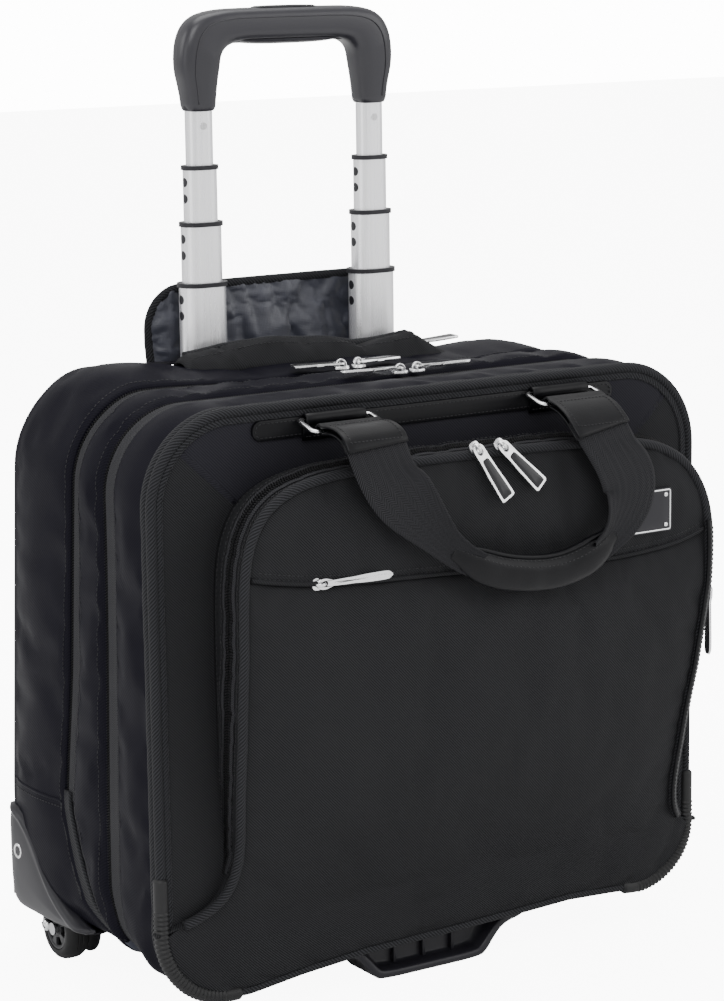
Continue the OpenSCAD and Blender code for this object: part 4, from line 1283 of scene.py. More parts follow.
def yoke():
    """Leather strip over the panel's top, with a stitched loop for each ring."""
    shape = rounded_rect(-142, 146, 384.5, 398, 6.5)
    obj = slab("yoke_leather", shape, np.array([0, FRONT - 1.6, 0]), (1, 0, 0), (0, 0, 1), (0, -1, 0), 2.4,
               0.9, 0.4)
    finish_piece(obj, "front_section", LEATHER, ["yoke_strip"])
    row = rounded_rect(-139.8, 143.8, 386.6, 395.9, 4.6)
    row = np.vstack([row, row[:1]])
    p = np.stack([row[:, 0], np.full(len(row), FRONT - 4.1), row[:, 1]], 1)
    stitches("yoke_leather_stitches", p, front_normals(len(p)), "front_section", pitch=3.2)
    for x, tag in zip(RING_X, ("left", "right")):
        loop_path = []
        for a in np.linspace(-90, 150, 18):
            loop_path.append((RING_REAR[0] - 3.4 * math.cos(math.radians(a)),
                              RING_REAR[1] + 3.4 * math.sin(math.radians(a))))
        prof = [(FRONT - 3.6, RING_REAR[1] - 14)] + [(FRONT - 5.0, RING_REAR[1] - 7)] + loop_path
        prof = np.array(prof)
        path = np.stack([np.full(len(prof), x), prof[:, 0], prof[:, 1]], 1)
        t = tangents(path)
        n = np.stack([np.zeros(len(t)), -t[:, 2], t[:, 1]], 1)
        strap = sweep(f"ring_loop_{tag}", path, n, flat_section(46, 1.8))
        finish_piece(strap, "front_section", LEATHER)
        for k, z in enumerate((RING_REAR[1] - 5.2, RING_REAR[1] - 11.5)):
            line = np.stack([np.linspace(x - 20, x + 20, 30), np.full(30, FRONT - 6.0), np.full(30, z)], 1)
            q, m = drape(strap, line, front_normals(30))
            stitches(f"ring_loop_stitches_{tag}_{k}", q, m, "front_section", pitch=2.8, length=2.1)


def ring_frames():
    """Flat nickel rings: a rounded rectangle of flattened wire."""
    d = RING_FRONT - RING_REAR
    length = float(np.linalg.norm(d))
    f = np.array([0, d[0], d[1]]) / length
    up = np.array([0, -f[2], f[1]])
    up = up if up[2] > 0 else -up
    for x, tag in zip(RING_X, ("left", "right")):
        flat = rounded_rect(-RING_HALF, RING_HALF, 0, length, 4.0, 8)
        path = np.array([x, RING_REAR[0], RING_REAR[1]]) + flat[:, :1] * [1, 0, 0] + flat[:, 1:] * f
        a = np.linspace(0, 2 * math.pi, 16, endpoint=False)
        sec = np.stack([1.9 * np.cos(a) * np.abs(np.cos(a)) ** -0.35, 1.25 * np.sin(a)], 1)
        obj = sweep(f"ring_{tag}", path, np.tile(up, (len(path), 1)), sec, closed=True)
        finish_piece(obj, "strap_rings", NICKEL, ["rings"] if tag == "left" else ())


# middle line of the strap and the turn of its flat about its own run, from the left tab to the right one
STRAP = [(-82, -124, 391.5, 0), (-82, -138, 393, 0), (-82, -151, 389, 0), (-81.5, -156, 378, 0),
         (-75, -156, 363, 5), (-60, -156, 345, 18), (-43, -156, 326, 40), (-25, -156, 308, 64),
         (2, -156, 293, 84), (30, -156, 286, 90), (58, -156, 284, 90), (82, -156, 289, 84),
         (100, -156, 299, 62), (113, -156, 314, 34), (121, -156, 333, 12), (114, -156, 351, 4),
         (101, -156, 367, 0), (98, -151, 378, 0), (98, -138, 388, 0), (98, -124, 391.5, 0)]
STRAP_W = 46.0
STRAP_THICK = 2.6
HIDDEN_BY_TAB = 0.055               # share of the strap that a leather tab covers


def strap_frames():
    """Middle line of the strap with its tangents, outward normals, side vectors and twist."""
    q, _ = resample(smooth_path(STRAP, 3), count=260)
    p = q[:, :3]
    t = tangents(p)
    s = np.linspace(0, 1, len(p))
    near = 1 - smoothstep(0.05, 0.2, np.minimum(s, 1 - s))
    flat_out = unit(np.stack([np.zeros(len(s)), np.full(len(s), -1.0), 0.9 * near], 1))
    n = unit(flat_out - t * np.sum(flat_out * t, 1)[:, None])
    turn = np.radians(q[:, 3])
    b = np.cross(n, t)
    level = (1 - smoothstep(0.08, 0.2, np.minimum(s, 1 - s)))[:, None]
    b = unit(b * (1 - level) + np.sign(b[:, :1]) * level * [1.0, 0, 0])
    return p, t, n, b, turn


def webbing_section(width, thick):
    """Ribbed webbing: a flat section whose faces carry shallow lengthwise ribs."""
    ribs = 9
    x = np.linspace(-width / 2, width / 2, ribs * 6 + 1)
    top = thick / 2 * np.sqrt(np.clip(1 - (np.abs(x) / (width / 2)) ** 14, 0.02, 1))
    wave = 0.16 * np.cos(x / width * 2 * math.pi * ribs)
    upper = np.stack([x, top + wave], 1)
    lower = np.stack([x[::-1], -top - wave], 1)
    return np.vstack([upper, lower])


def strap_body():
    """The carry strap: webbing that folds into the leather grip, with a leather tab at each end."""
    p, _, n, b, turn = strap_frames()
    s = np.linspace(0, 1, len(p))
    web = (s > HIDDEN_BY_TAB) & (s < 1 - HIDDEN_BY_TAB)
    sec = webbing_section(STRAP_W, STRAP_THICK)
    fold = smoothstep(0.13, 0.34, s) * (1 - smoothstep(0.66, 0.82, s))
    for tag, part in (("left", web & (s < 0.40)), ("right", web & (s > 0.63))):
        idx = np.flatnonzero(part)
        cup = fold[idx][:, None] * 1.15
        ang = turn[idx] * 0.55
        rows = []
        for k, i in enumerate(idx):
            x = sec[:, 0] * (1 - 0.46 * fold[i])
            bend = cup[k, 0] * (x / (STRAP_W / 2)) ** 2 * 9.0
            y = sec[:, 1] + bend
            ca, sa = math.cos(ang[k]), math.sin(ang[k])
            rows.append(p[i] + np.outer(x * ca - y * sa * 0.3, b[i]) + np.outer(x * sa * 0.35 + y, n[i]))
        pts = np.array(rows)
        uv = np.stack(np.meshgrid(run_length(p[idx]), run_length(sec), indexing="ij"), -1) * MM
        obj = grid_object(f"strap_webbing_{tag}", pts, uv)
        finish_piece(obj, "carry_handle", WEBBING, ["carry_strap"] if tag == "left" else ())
    grip_wrap(p, n, b, s)
    for tag, sign in (("left", 1), ("right", -1)):
        tab_leather(tag, sign, p, n, b, s)


def even_uv(pts, u, v):
    """Evenly spread uvs over a grid, u by v metres."""
    return np.stack(np.meshgrid(np.linspace(0, u, pts.shape[0]), np.linspace(0, v, pts.shape[1]),
                                indexing="ij"), -1)


def grip_wrap(p, n, b, s):
    """Leather folded round the webbing and stitched along its top: the hand grip."""
    idx = np.flatnonzero((s > 0.335) & (s < 0.70))
    k = np.linspace(0, 1, len(idx))
    a = np.linspace(0, 2 * math.pi, 28, endpoint=False)
    rows = []
    for j, i in enumerate(idx):
        ends = np.minimum(k[j], 1 - k[j])
        wide = 1.0 - 0.50 * math.exp(-(ends / 0.13) ** 2)
        h, d = 12.0 * wide, 5.2 * (1.0 - 0.62 * math.exp(-(ends / 0.11) ** 2))
        x = h * np.sign(np.cos(a)) * np.abs(np.cos(a)) ** 0.8
        y = d * np.sin(a)
        pinch = smoothstep(0.35, 1.0, x / h) * 0.62
        y = y * (1 - pinch)
        rows.append(p[i] + np.outer(x, b[i]) + np.outer(y, n[i]))
    pts = np.array(rows)
    cap0, cap1 = pts[0].mean(0), pts[-1].mean(0)
    first = [cap0 + (pts[0] - cap0) * f for f in (0.02, 0.6)]
    final = [cap1 + (pts[-1] - cap1) * f for f in (0.6, 0.02)]
    pts = np.array(first + list(pts) + final)
    pts = np.concatenate([pts, pts[:, :1]], 1)
    fold = fold_noise(pts, 14.0, 41) * 0.5
    pts = pts - fold[..., None] * np.array([0, 1.0, 0])
    obj = grid_object("grip_leather", pts, even_uv(pts, 0.13, 0.07))
    finish_piece(obj, "carry_handle", LEATHER, ["carry_grip"])
    up = np.where(b[idx][:, 2:3] > 0, b[idx], -b[idx])
    rim = 1.0 - 0.50 * np.exp(-(np.minimum(k, 1 - k) / 0.13) ** 2)
    for row, lift in enumerate((8.8, 5.0)):
        line = p[idx] + up * (lift * rim)[:, None]
        q, m = drape(obj, line[4:-4], n[idx][4:-4])
        stitches(f"grip_stitches_{row}", q, m, "carry_handle", pitch=3.4)
    lip = p[idx] + up * (11.2 * rim)[:, None]
    seam = sweep("grip_edge", lip, n[idx], np.array([(1.6, 0), (1.2, 2.0), (0, 2.5), (-1.2, 2.0), (-1.6, 0),
                                                     (-1.2, -2.0), (0, -2.5), (1.2, -2.0)]))
    finish_piece(seam, "carry_handle", LEATHER)


def tab_leather(tag, sign, p, n, b, s):
    """Leather end folded over the ring's front bar and stitched to the webbing."""
    share = s if sign > 0 else s[::-1]
    idx = np.flatnonzero(share < 0.078)
    if sign < 0:
        idx = idx[::-1]
    front = np.array([RING_X[0] if sign > 0 else RING_X[1], RING_FRONT[0], RING_FRONT[1]])
    a = np.radians(np.linspace(140, 272, 16))
    arc_n = np.stack([np.zeros(16), -np.cos(a), -np.sin(a)], 1)
    arc = front + arc_n * 4.0
    keep = [i for i in idx if p[i][1] < RING_FRONT[0] - 3.0]
    lift = n[keep] * (STRAP_THICK / 2 + 0.8)
    run = p[keep] + lift
    if np.linalg.norm(arc[-1] - run[0]) > np.linalg.norm(arc[0] - run[0]):
        arc, arc_n = arc[::-1], arc_n[::-1]
    obj = sweep(f"tab_leather_{tag}", np.vstack([arc, run]), np.vstack([arc_n, n[keep]]),
                flat_section(47, 2.0))
    finish_piece(obj, "carry_handle", LEATHER, ["strap_tabs"] if tag == "left" else ())
    under = sweep(f"tab_leather_back_{tag}", p[keep] - lift, -n[keep], flat_section(46, 1.8))
    finish_piece(under, "carry_handle", LEATHER)
    side = b[keep] * 19.5
    across = np.linspace(1, -1, 20)[:, None]
    box = np.vstack([run[2:-3] + side[2:-3], run[-3] + across * side[-3],
                     (run[2:-3] - side[2:-3])[::-1], run[2] - across * side[2]])
    mean_n = np.tile(unit(n[keep].mean(0)), (len(box), 1))
    q, m = drape(obj, box, mean_n)
    stitches(f"tab_stitches_{tag}", q, m, "carry_handle", pitch=3.0, length=2.2, closed=True)


def badge():
    """Blank badge plate with a raised rim and four studs."""
    low, high = low_high("badge_plate")
    cx, cz = (low[0] + high[0]) / 2, (low[2] + high[2]) / 2
    face = upper_face_at(cx, cz)
    w, h = 18.5, 15.0
    obj = slab("badge_base", rounded_rect(-w, w, -h, h, 1.6, 5), np.array([cx, face + 0.6, cz]),
               (1, 0, 0), (0, 0, 1), (0, -1, 0), 2.2, 0.5)
    finish_piece(obj, "front_section", SATIN, ["badge_plate"])
    path = rounded_rect(-w + 1.3, w - 1.3, -h + 1.3, h - 1.3, 1.2, 5)
    line = np.stack([path[:, 0] + cx, np.full(len(path), face - 1.6), path[:, 1] + cz], 1)
    rim = sweep("badge_rim", line, front_normals(len(line)), flat_section(1.1, 0.7), closed=True)
    finish_piece(rim, "front_section", NICKEL)
    for k, (x, z) in enumerate(((-13.6, -10.4), (13.6, -10.4), (-13.6, 10.4), (13.6, 10.4))):
        stud = lathe(f"badge_stud_{k}", [(0, 0.9), (0.9, 0.75), (1.5, 0.3), (1.6, 0)],
                     (cx + x, face - 1.6, cz + z), (0, -1, 0), 16)
        finish_piece(stud, "front_section", NICKEL)


def upper_face_at(x, z):
    """Y of the pocket's upper face."""
    obj = bpy.data.objects["pocket_face_upper"]
    q, _ = drape(obj, np.array([[x, POCKET_FACE, z]]), np.array([[0, -1.0, 0]]), reach=30)
    return float(q[0][1])


def lathe(name, profile, centre, axis, steps=32):
    """Turned shape: profile is [(radius, height)] along axis."""
    axis = unit(np.array([axis], float))[0]
    ref = np.array([0, 0, 1.0]) if abs(axis[2]) < 0.9 else np.array([1.0, 0, 0])
    e1 = unit(np.cross(axis, ref)[None])[0]
    e2 = np.cross(axis, e1)
    a = np.linspace(0, 2 * math.pi, steps, endpoint=False)
    prof = np.asarray(profile, float)
    r, h = np.maximum(prof[:, 0], 0.01), prof[:, 1]
    p = (np.asarray(centre, float)
         + (np.cos(a)[:, None, None] * e1 + np.sin(a)[:, None, None] * e2) * r[None, :, None]
         + h[None, :, None] * axis)
    u = np.concatenate([a, [2 * math.pi]]) * r.max()
    uv = np.stack(np.meshgrid(u, run_length(prof), indexing="ij"), -1) * MM
    obj = grid_object(name, p, uv, closed=True, flip=True)
    shade_by_angle(obj)
    return obj


# ---------------------------------------------------------------- zip sliders and pulls
def rotation(rx, ry, rz):
    """Turns about X, then Y, then Z, in degrees, as one matrix."""
    cx, sx = math.cos(math.radians(rx)), math.sin(math.radians(rx))
    cy, sy = math.cos(math.radians(ry)), math.sin(math.radians(ry))
    cz, sz = math.cos(math.radians(rz)), math.sin(math.radians(rz))
    x = np.array([[1, 0, 0], [0, cx, -sx], [0, sx, cx]])
    y = np.array([[cy, 0, sy], [0, 1, 0], [-sy, 0, cy]])
    z = np.array([[cz, -sz, 0], [sz, cz, 0], [0, 0, 1]])
    return z @ y @ x


ZIP_PIVOT = TOP + 5.3           # height of a slider's pivot on the top panel
SLIM, WIDE = 6.0, 12.0
# name: pivot, turn, pull length, pull width, slider's body, pull's body
PULLS = {
    "main_left": ((16, MAIN_ZIP - 1, ZIP_PIVOT), rotation(0, 0, 172), 44, SLIM, "main_zip_left",
                  "main_tab_left"),
    "main_right": ((30, MAIN_ZIP - 1, ZIP_PIVOT), rotation(0, 0, -4), 42, SLIM, "main_zip_right",
                   "main_tab_right"),
    "rear_left": ((-4, REAR_ZIP - 5, ZIP_PIVOT), rotation(0, 0, 168), 36, WIDE, "case", "rear_tab_left"),
    "rear_right": ((10, REAR_ZIP - 5, ZIP_PIVOT), rotation(0, 0, 10), 36, WIDE, "case", "rear_tab_right"),
    "pocket_left": ((4, POCKET_FACE - 5.8, POCKET_TOP + 7), rotation(0, 76, -90) @ rotation(0, 0, 28), 40,
                    WIDE, "front_section", "pocket_tab_left"),
    "pocket_right": ((24, POCKET_FACE - 5.8, POCKET_TOP + 7), rotation(0, 76, -90) @ rotation(0, 0, 42), 40,
                     WIDE,
                     "front_section", "pocket_tab_right"),
    "slot": ((-117, POCKET_FACE - 4.0, 296), rotation(90, 0, 0), 54, SLIM, "slot_zip", "slot_tab"),
    "side": ((211.5, FRONT - 30, 246), rotation(0, 90, 0), 46, SLIM, "front_section", "side_tab"),
    "flap": ((104, BACK - 9, ZIP_PIVOT), rotation(0, 0, -2), 46, WIDE, "case", "flap_tab"),
}
SLIDER_NODES = {"main_left": ["main_slider_left"], "main_right": ["main_slider_right"],
                "slot": ["slot_slider"], "rear_left": ["rear_sliders"], "pocket_left": ["front_sliders"]}
PULL_NODES = {"main_left": "main_pull_left", "main_right": "main_pull_right", "rear_left": "rear_pull_left",
              "rear_right": "rear_pull_right", "pocket_left": "pocket_pull_left",
              "pocket_right": "pocket_pull_right", "slot": "slot_pull", "side": "side_pull",
              "flap": "flap_pull"}


def place_local(points, pivot, turn):
    """Points of a pull or slider, from their own axes to the case's."""
    return np.asarray(points, float) @ turn.T + np.asarray(pivot, float)


def mirrored(half):
    """Smooths half an outline and closes it with its mirror image."""
    top = smooth_path(half, 2)
    return np.vstack([top, (top * [1, -1])[::-1][1:-1]])


def slider_outline():
    """Seen from above: a shield, wide at the open end and narrow at the closed one."""
    half = [(-5.4, 0), (-5.2, 2.6), (-3.6, 4.0), (-0.6, 4.3), (2.6, 3.6), (5.0, 2.9), (5.6, 1.2), (5.6, 0)]
    return mirrored(half)


def slider_piece(name, spec):
    """A slider's top plate and the bridge that its pull turns on."""
    pivot, turn, _, _, body, _ = spec
    axes = turn.T
    place = place_local([[0, 0, -3.6]], pivot, turn)[0]
    base = slab(f"slider_{name}", slider_outline(), place, axes[0], axes[1], axes[2], 2.1, 0.6, 0.25)
    finish_piece(base, body, NICKEL, SLIDER_NODES.get(name, ()))
    a = np.linspace(-12, 192, 20)
    c, s = np.cos(np.radians(a)), np.sin(np.radians(a))
    arch = np.stack([3.7 * c, np.zeros(20), -1.4 + 4.2 * np.clip(s, -0.3, 1)], 1)
    nrm = np.stack([c, np.zeros(20), s], 1)
    bridge = sweep(f"slider_bridge_{name}", place_local(arch, pivot, turn), nrm @ turn.T,
                   flat_section(2.4, 1.1, 3))
    finish_piece(bridge, body, NICKEL)


def pull_plan(length, width):
    """Outline of a pull: a round eye end, a waist and a rounded tip."""
    w = width / 2
    if width > 8:
        half = [(-2.4, 0), (-2.4, 2.6), (-1.2, 4.3), (3.6, 4.5), (8.0, 4.5), (12, w - 1.4),
                (length * 0.6, w - 0.6), (length - 1.5, w), (length - 0.3, w - 0.4), (length, w - 1.6),
                (length, 0)]
    else:
        half = [(-2.2, 0), (-2.2, 2.2), (-0.8, 3.5), (3.5, 3.6), (6.5, 2.6), (9.5, 1.9), (13, 2.0),
                (length * 0.6, 2.8), (length - 4, w), (length - 1.0, w - 0.7), (length, w - 1.8),
                (length, 0)]
    return mirrored(half)


def inner_plan(length, width, rim):
    """Outline of the inlay or ridge inside a pull."""
    w = width / 2 - rim
    half = [(8.5, 0), (8.5, w - 2.0), (11.0, w - 1.3), (length * 0.6, w - 0.6), (length - rim - 1.5, w),
           (length - rim - 0.2, w - 0.4), (length - rim, w - 1.2), (length - rim, 0)]
    return mirrored(half)


def plate_with_hole(name, outer, hole, pivot, turn, half_t):
    """A flat plate with one hole, both as loops with the same number of points, rounded on both faces."""
    edge = 0.35
    outer, _ = resample(outer, count=64, closed=True)
    hole, _ = resample(hole, count=64, closed=True)
    k = int(np.argmin(np.linalg.norm(hole - outer[0] * [0.2, 1], axis=1)))
    hole = np.roll(hole, -k, 0)
    centre = outer.mean(0)
    loops = []
    for plan, inset, h in ((outer, edge, half_t), (outer, 0, half_t - edge), (outer, 0, edge - half_t),
                           (outer, edge, -half_t)):
        d = unit(centre - plan)
        loops.append(np.column_stack([plan + d * inset, np.full(64, h)]))
    for plan, grow, h in ((hole, edge * 0.6, -half_t), (hole, 0, edge - half_t), (hole, 0, half_t - edge),
                          (hole, edge * 0.6, half_t)):
        d = unit(plan - plan.mean(0))
        loops.append(np.column_stack([plan + d * grow, np.full(64, h)]))
    verts = place_local(np.vstack(loops), pivot, turn)
    faces = []
    for r in range(8):
        q = (r + 1) % 8
        for i in range(64):
            j = (i + 1) % 64
            faces.append((r * 64 + i, q * 64 + i, q * 64 + j, r * 64 + j))
    obj = make_object(name, verts, faces)
    bm = bmesh.new()
    bm.from_mesh(obj.data)
    bmesh.ops.recalc_face_normals(bm, faces=bm.faces)
    bm.to_mesh(obj.data)
    bm.free()
    shade_by_angle(obj)
    return obj


def pull_piece(name, spec):
    """A pull with its eye: wide ones carry an inlay on both faces, slim ones a ridge."""
    pivot, turn, length, width, _, body = spec
    outer = pull_plan(length, width)
    a = np.linspace(0, 2 * math.pi, 64, endpoint=False)
    eye = np.stack([2.6 + 2.5 * np.cos(a), (2.3 if width > 8 else 1.8) * np.sin(a)], 1)[::-1]
    frame_obj = plate_with_hole(f"pull_{name}", outer, eye, pivot, turn, 0.95)
    finish_piece(frame_obj, body, NICKEL, [PULL_NODES[name]])
    if width > 8:
        plan = inner_plan(length, width, 1.7)
        for side in (1, -1):
            place = place_local([[0, 0, 0.62 * side]], pivot, turn)[0]
            axes = turn.T
            inlay = slab(f"pull_inlay_{name}_{'a' if side > 0 else 'b'}", plan, place, axes[0], axes[1],
                         axes[2] * side, 0.75, 0.5, 0.15)
            finish_piece(inlay, body, INLAY)
    else:
        rib = slab(f"pull_ridge_{name}", inner_plan(length, width, 1.5) * [1, 0.8] + [2, 0],
                   place_local([[0, 0, 0.7]], pivot, turn)[0], turn.T[0], turn.T[1], turn.T[2], 0.6, 0.3)
        finish_piece(rib, body, NICKEL)


def zip_pulls():
    """Every slider with its pull."""
    for name, spec in PULLS.items():
        slider_piece(name, spec)
        pull_piece(name, spec)


# ---------------------------------------------------------------- handle well, lip and flap
def well():
    """Moulded rim round the handle's well."""
    low, high = low_high("handle_cup")
    rim = rounded_rect(low[0] - 4, high[0] + 4, low[1] - 2.7, high[1] + 2.7, 6, 6)
    rim3 = np.column_stack([rim, np.full(len(rim), TOP + 0.9)])
    obj = sweep("well_rim", rim3, np.tile([0, 0, 1.0], (len(rim3), 1)), flat_section(5.0, 2.4), closed=True)
    finish_piece(obj, "case", SATIN)


LIP_HALF = 104.0
# how high the hood stands over the top of the case, from left to right
HOOD_X = [-112, -102, -70, -30, 15, 37, 66, 83, 100, 112]
HOOD_Z = [4, 13, 19, 21, 16.5, 13, 15, 17, 9, 3]


def lip():
    """Padded hood in front of the handle: a low arch of twill with a corded edge and a short zip behind."""
    x = np.linspace(-LIP_HALF - 4, LIP_HALF + 8, 90)
    arch = np.interp(x, HOOD_X, HOOD_Z)
    a = np.linspace(0, math.pi, 13)
    pts = []
    for xi, h in zip(x, arch):
        y = 53.0 - 11.25 * np.cos(a)
        z = TOP - 0.6 + h * np.sin(a) ** 0.8
        pts.append(np.column_stack([np.full(13, xi), y, z]))
    pts = np.array(pts)
    pts[..., 2] += fold_noise(pts, 30.0, 51) * 0.7
    uv = np.stack(np.meshgrid(x, a * 12.0, indexing="ij"), -1) * MM
    obj = grid_object("well_hood", pts, uv)
    puff(obj, edge_mask(*pts.shape[:2]), pressure=1.6, slack=0.03, cap=2.5)
    finish_piece(obj, "case", TWILL, ["well_lip"], thick=1.6, inner=INSIDE)
    top = pts[:, 8]
    n = unit(np.stack([np.zeros(90), np.full(90, 0.45), np.full(90, 1.0)], 1))
    cord = sweep("well_hood_cord", top[3:-3] + [0, 0.6, 0.8], n[3:-3], round_section(2.6, 10))
    finish_piece(cord, "case", CORD)
    back = pts[:, 10] + [0, 1.0, 0.2]
    q, m = even_frames(back[6:-6], n[6:-6] + [0, 1.2, 0], ZIP_STEP)
    tape = sweep("well_hood_tape", q, m, flat_section(7.0, 1.0))
    finish_piece(tape, "case", TAPE)
    for s, tag in ((-1, "a"), (1, "b")):
        teeth(f"well_coil_{tag}", q + m * 0.6, m, s, "case")
    m, mn = drape(obj, pts[4:-4, 4], np.tile([0, -0.6, 0.8], (82, 1)))
    stitches("well_hood_stitches", m, mn, "case")


def edge_mask(rows, cols, width=1):
    """True on the outer rows and columns of a grid."""
    mask = np.ones((rows, cols), bool)
    mask[width:-width, width:-width] = False
    return mask


FLAP_LOW, FLAP_HIGH = low_high("handle_flap")


def flap():
    """Fabric flap standing behind the tubes: crinkled lining with a bound, round-cornered edge."""
    x0, x1 = FLAP_LOW[0] + 7, FLAP_HIGH[0]
    z0, z1 = FLAP_LOW[2] - 3, FLAP_HIGH[2]
    nu, nv = 110, 34
    u = np.linspace(0, 1, nu)[:, None]
    v = np.linspace(0, 1, nv)[None]
    r = 28.0
    height = v * (z1 - z0)
    above = height - (z1 - z0 - r)
    drop = np.where(height > (z1 - z0) - r, r - np.sqrt(np.clip(r ** 2 - above ** 2, 0, None)), 0)
    x = (x0 + drop) * (1 - u) + (x1 - drop) * u
    z = np.broadcast_to(z0 + (z1 - z0) * v, x.shape)
    y = np.full_like(x, (FLAP_LOW[1] + FLAP_HIGH[1]) / 2)
    p = np.stack([x, y, z], -1)
    wave = fold_noise(p * [1, 1, 0.35], 26.0, 61) * 2.6 + fold_noise(p * [1, 1, 0.6], 10.0, 62)
    fade = np.minimum(np.minimum(u, 1 - u) * 14, 1) * np.minimum(np.minimum(v, 1 - v) * 6, 1)
    p[..., 1] += wave * (0.35 + 0.65 * fade) + 1.5 * np.sin(math.pi * u) * v
    obj = grid_object("flap_cloth", p, p[..., [0, 2]] * MM, flip=True)
    mask = edge_mask(nu, nv, 2)
    mask[:, nv // 2 + 6] = True
    puff(obj, mask, pressure=0.4, slack=0.05, cap=4.0, stiff=5.0, bend=0.4)
    finish_piece(obj, "well_flap", LINING, ["handle_flap"], thick=1.4, inner=LINING)
    edge = np.vstack([p[0, :], p[1:-1, -1], p[-1, ::-1]])
    edge, n = even_frames(edge, front_normals(len(edge)), 2.2)
    bind = sweep("flap_binding", edge, n, np.array(
        [(3.2, 0), (2.6, 1.5), (0, 1.9), (-2.6, 1.5), (-3.2, 0), (-2.6, -1.5), (0, -1.9), (2.6, -1.5)]))
    finish_piece(bind, "well_flap", CORD)
    for k, inset in enumerate((6.0, 9.6)):
        c = np.array([(x0 + x1) / 2, 0, z0])
        side = np.cross(tangents(edge), n)
        side = np.where(np.sum(side * (c - edge) * [1, 0, 1], 1)[:, None] > 0, side, -side)
        q = edge + side * inset
        keep = q[:, 2] > z0 + 4
        for face, tag in ((-1.0, "front"), (1.0, "back")):
            m, mn = drape(obj, q[keep], np.tile([0, face, 0], (int(keep.sum()), 1)),
                          lift=0.0 if face < 0 else 1.3)
            stitches(f"flap_stitches_{tag}_{k}", m, mn, "well_flap")


# ---------------------------------------------------------------- telescopic handle
GRIP_LOW, GRIP_HIGH = low_high("grip_body")
TUBE_X, TUBE_Y = 70.0, 84.0


def both_sides(half):
    """A profile that ends on the middle plane, followed by its mirror image."""
    return np.vstack([half, (half * [-1, 1])[::-1][1:]])


def grip():
    """U-shaped grip: legs that flare towards the collars, a flat crossbar and rounded shoulders."""
    half, z0, z1 = GRIP_HIGH[0], GRIP_LOW[2], GRIP_HIGH[2]
    outer = smooth_path([(-TUBE_X - 11.0, z0), (-TUBE_X - 12.6, z0 + 14), (-half, z1 - 38),
                         (-half + 2.5, z1 - 17), (-half + 12, z1 - 4.5), (-half + 30, z1), (-30, z1 + 0.4),
                         (0, z1 + 0.4)], 3)
    inner = smooth_path([(-TUBE_X + 10.8, z0), (-TUBE_X + 12.2, z0 + 14), (-TUBE_X + 14.4, z1 - 41),
                         (-TUBE_X + 16, z1 - 30), (-TUBE_X + 23, z1 - 24), (-TUBE_X + 36, z1 - 22.4),
                         (-26, z1 - 22.4), (0, z1 - 22.4)], 3)
    outer, inner = (resample(both_sides(v), count=150)[0] for v in (outer, inner))
    mid, h = (outer + inner) / 2, np.linalg.norm(outer - inner, axis=1) / 2
    d = unit(outer - inner)
    a = np.linspace(0, 2 * math.pi, 40, endpoint=False)
    cx, cy = (np.sign(v) * np.abs(v) ** 0.62 for v in (np.cos(a), np.sin(a)))
    depth = 12.4
    deep = np.interp(mid[:, 1], [z0, z0 + 40], [9.8, depth])
    pts = np.zeros((150, 40, 3))
    for i in range(150):
        ends = min(i, 149 - i)
        close = 1 - 0.10 * math.exp(-(ends / 1.2) ** 2)
        q = mid[i] + d[i] * (cx * h[i] * close)[:, None]
        pts[i, :, 0], pts[i, :, 2] = q[:, 0], q[:, 1]
        pts[i, :, 1] = TUBE_Y + cy * deep[i] * close
    pts = np.concatenate([pts, pts[:, :1]], 1)
    caps = []
    for e in (0, -1):
        c = pts[e].mean(0)
        caps.append(c + (pts[e] - c) * 0.75)
    pts = np.concatenate([caps[0][None], pts, caps[1][None]], 0)
    obj = grid_object("grip_shell", pts, even_uv(pts, 0.35, 0.09))
    finish_piece(obj, "handle_grip", GRIP, ["grip_body"], subdiv=1)
    for s, tag in ((-1, "left"), (1, "right")):
        plug = lathe(f"grip_socket_{tag}", [(0, 1.0), (10.6, 1.0), (11.0, 0.4), (11.1, 8.0)],
                     (s * (TUBE_X + 0.3), TUBE_Y, z0 + 0.2), (0, 0, 1), 40)
        plug.data.transform(scale_about((s * TUBE_X, TUBE_Y, z0), (1.0, 0.74, 1.0)))
        finish_piece(plug, "handle_grip", SATIN)
    parting(mid, h, d, deep)
    pad(z1)


def scale_about(centre, factors):
    """Matrix that scales about a point."""
    c = Vector((np.array(centre) + SHIFT) * MM)
    return Matrix.Translation(c) @ Matrix.Diagonal((*factors, 1)) @ Matrix.Translation(-c)


def parting(mid, h, d, depth):
    """Thin raised lines where the two halves of the grip meet on its front and rear faces."""
    for s, tag in ((-1, "front"), (1, "rear")):
        p = np.stack([mid[:, 0], TUBE_Y + s * (depth + 0.02), mid[:, 1]], 1)[3:-3]
        off = (d * (h * 0.42)[:, None])[3:-3]
        p = p + np.stack([off[:, 0], np.zeros(len(off)), off[:, 1]], 1)
        n = np.tile([0, float(s), 0], (len(p), 1))
        line = sweep(f"grip_parting_{tag}", p, n, round_section(0.35, 6))
        finish_piece(line, "handle_grip", GRIP)


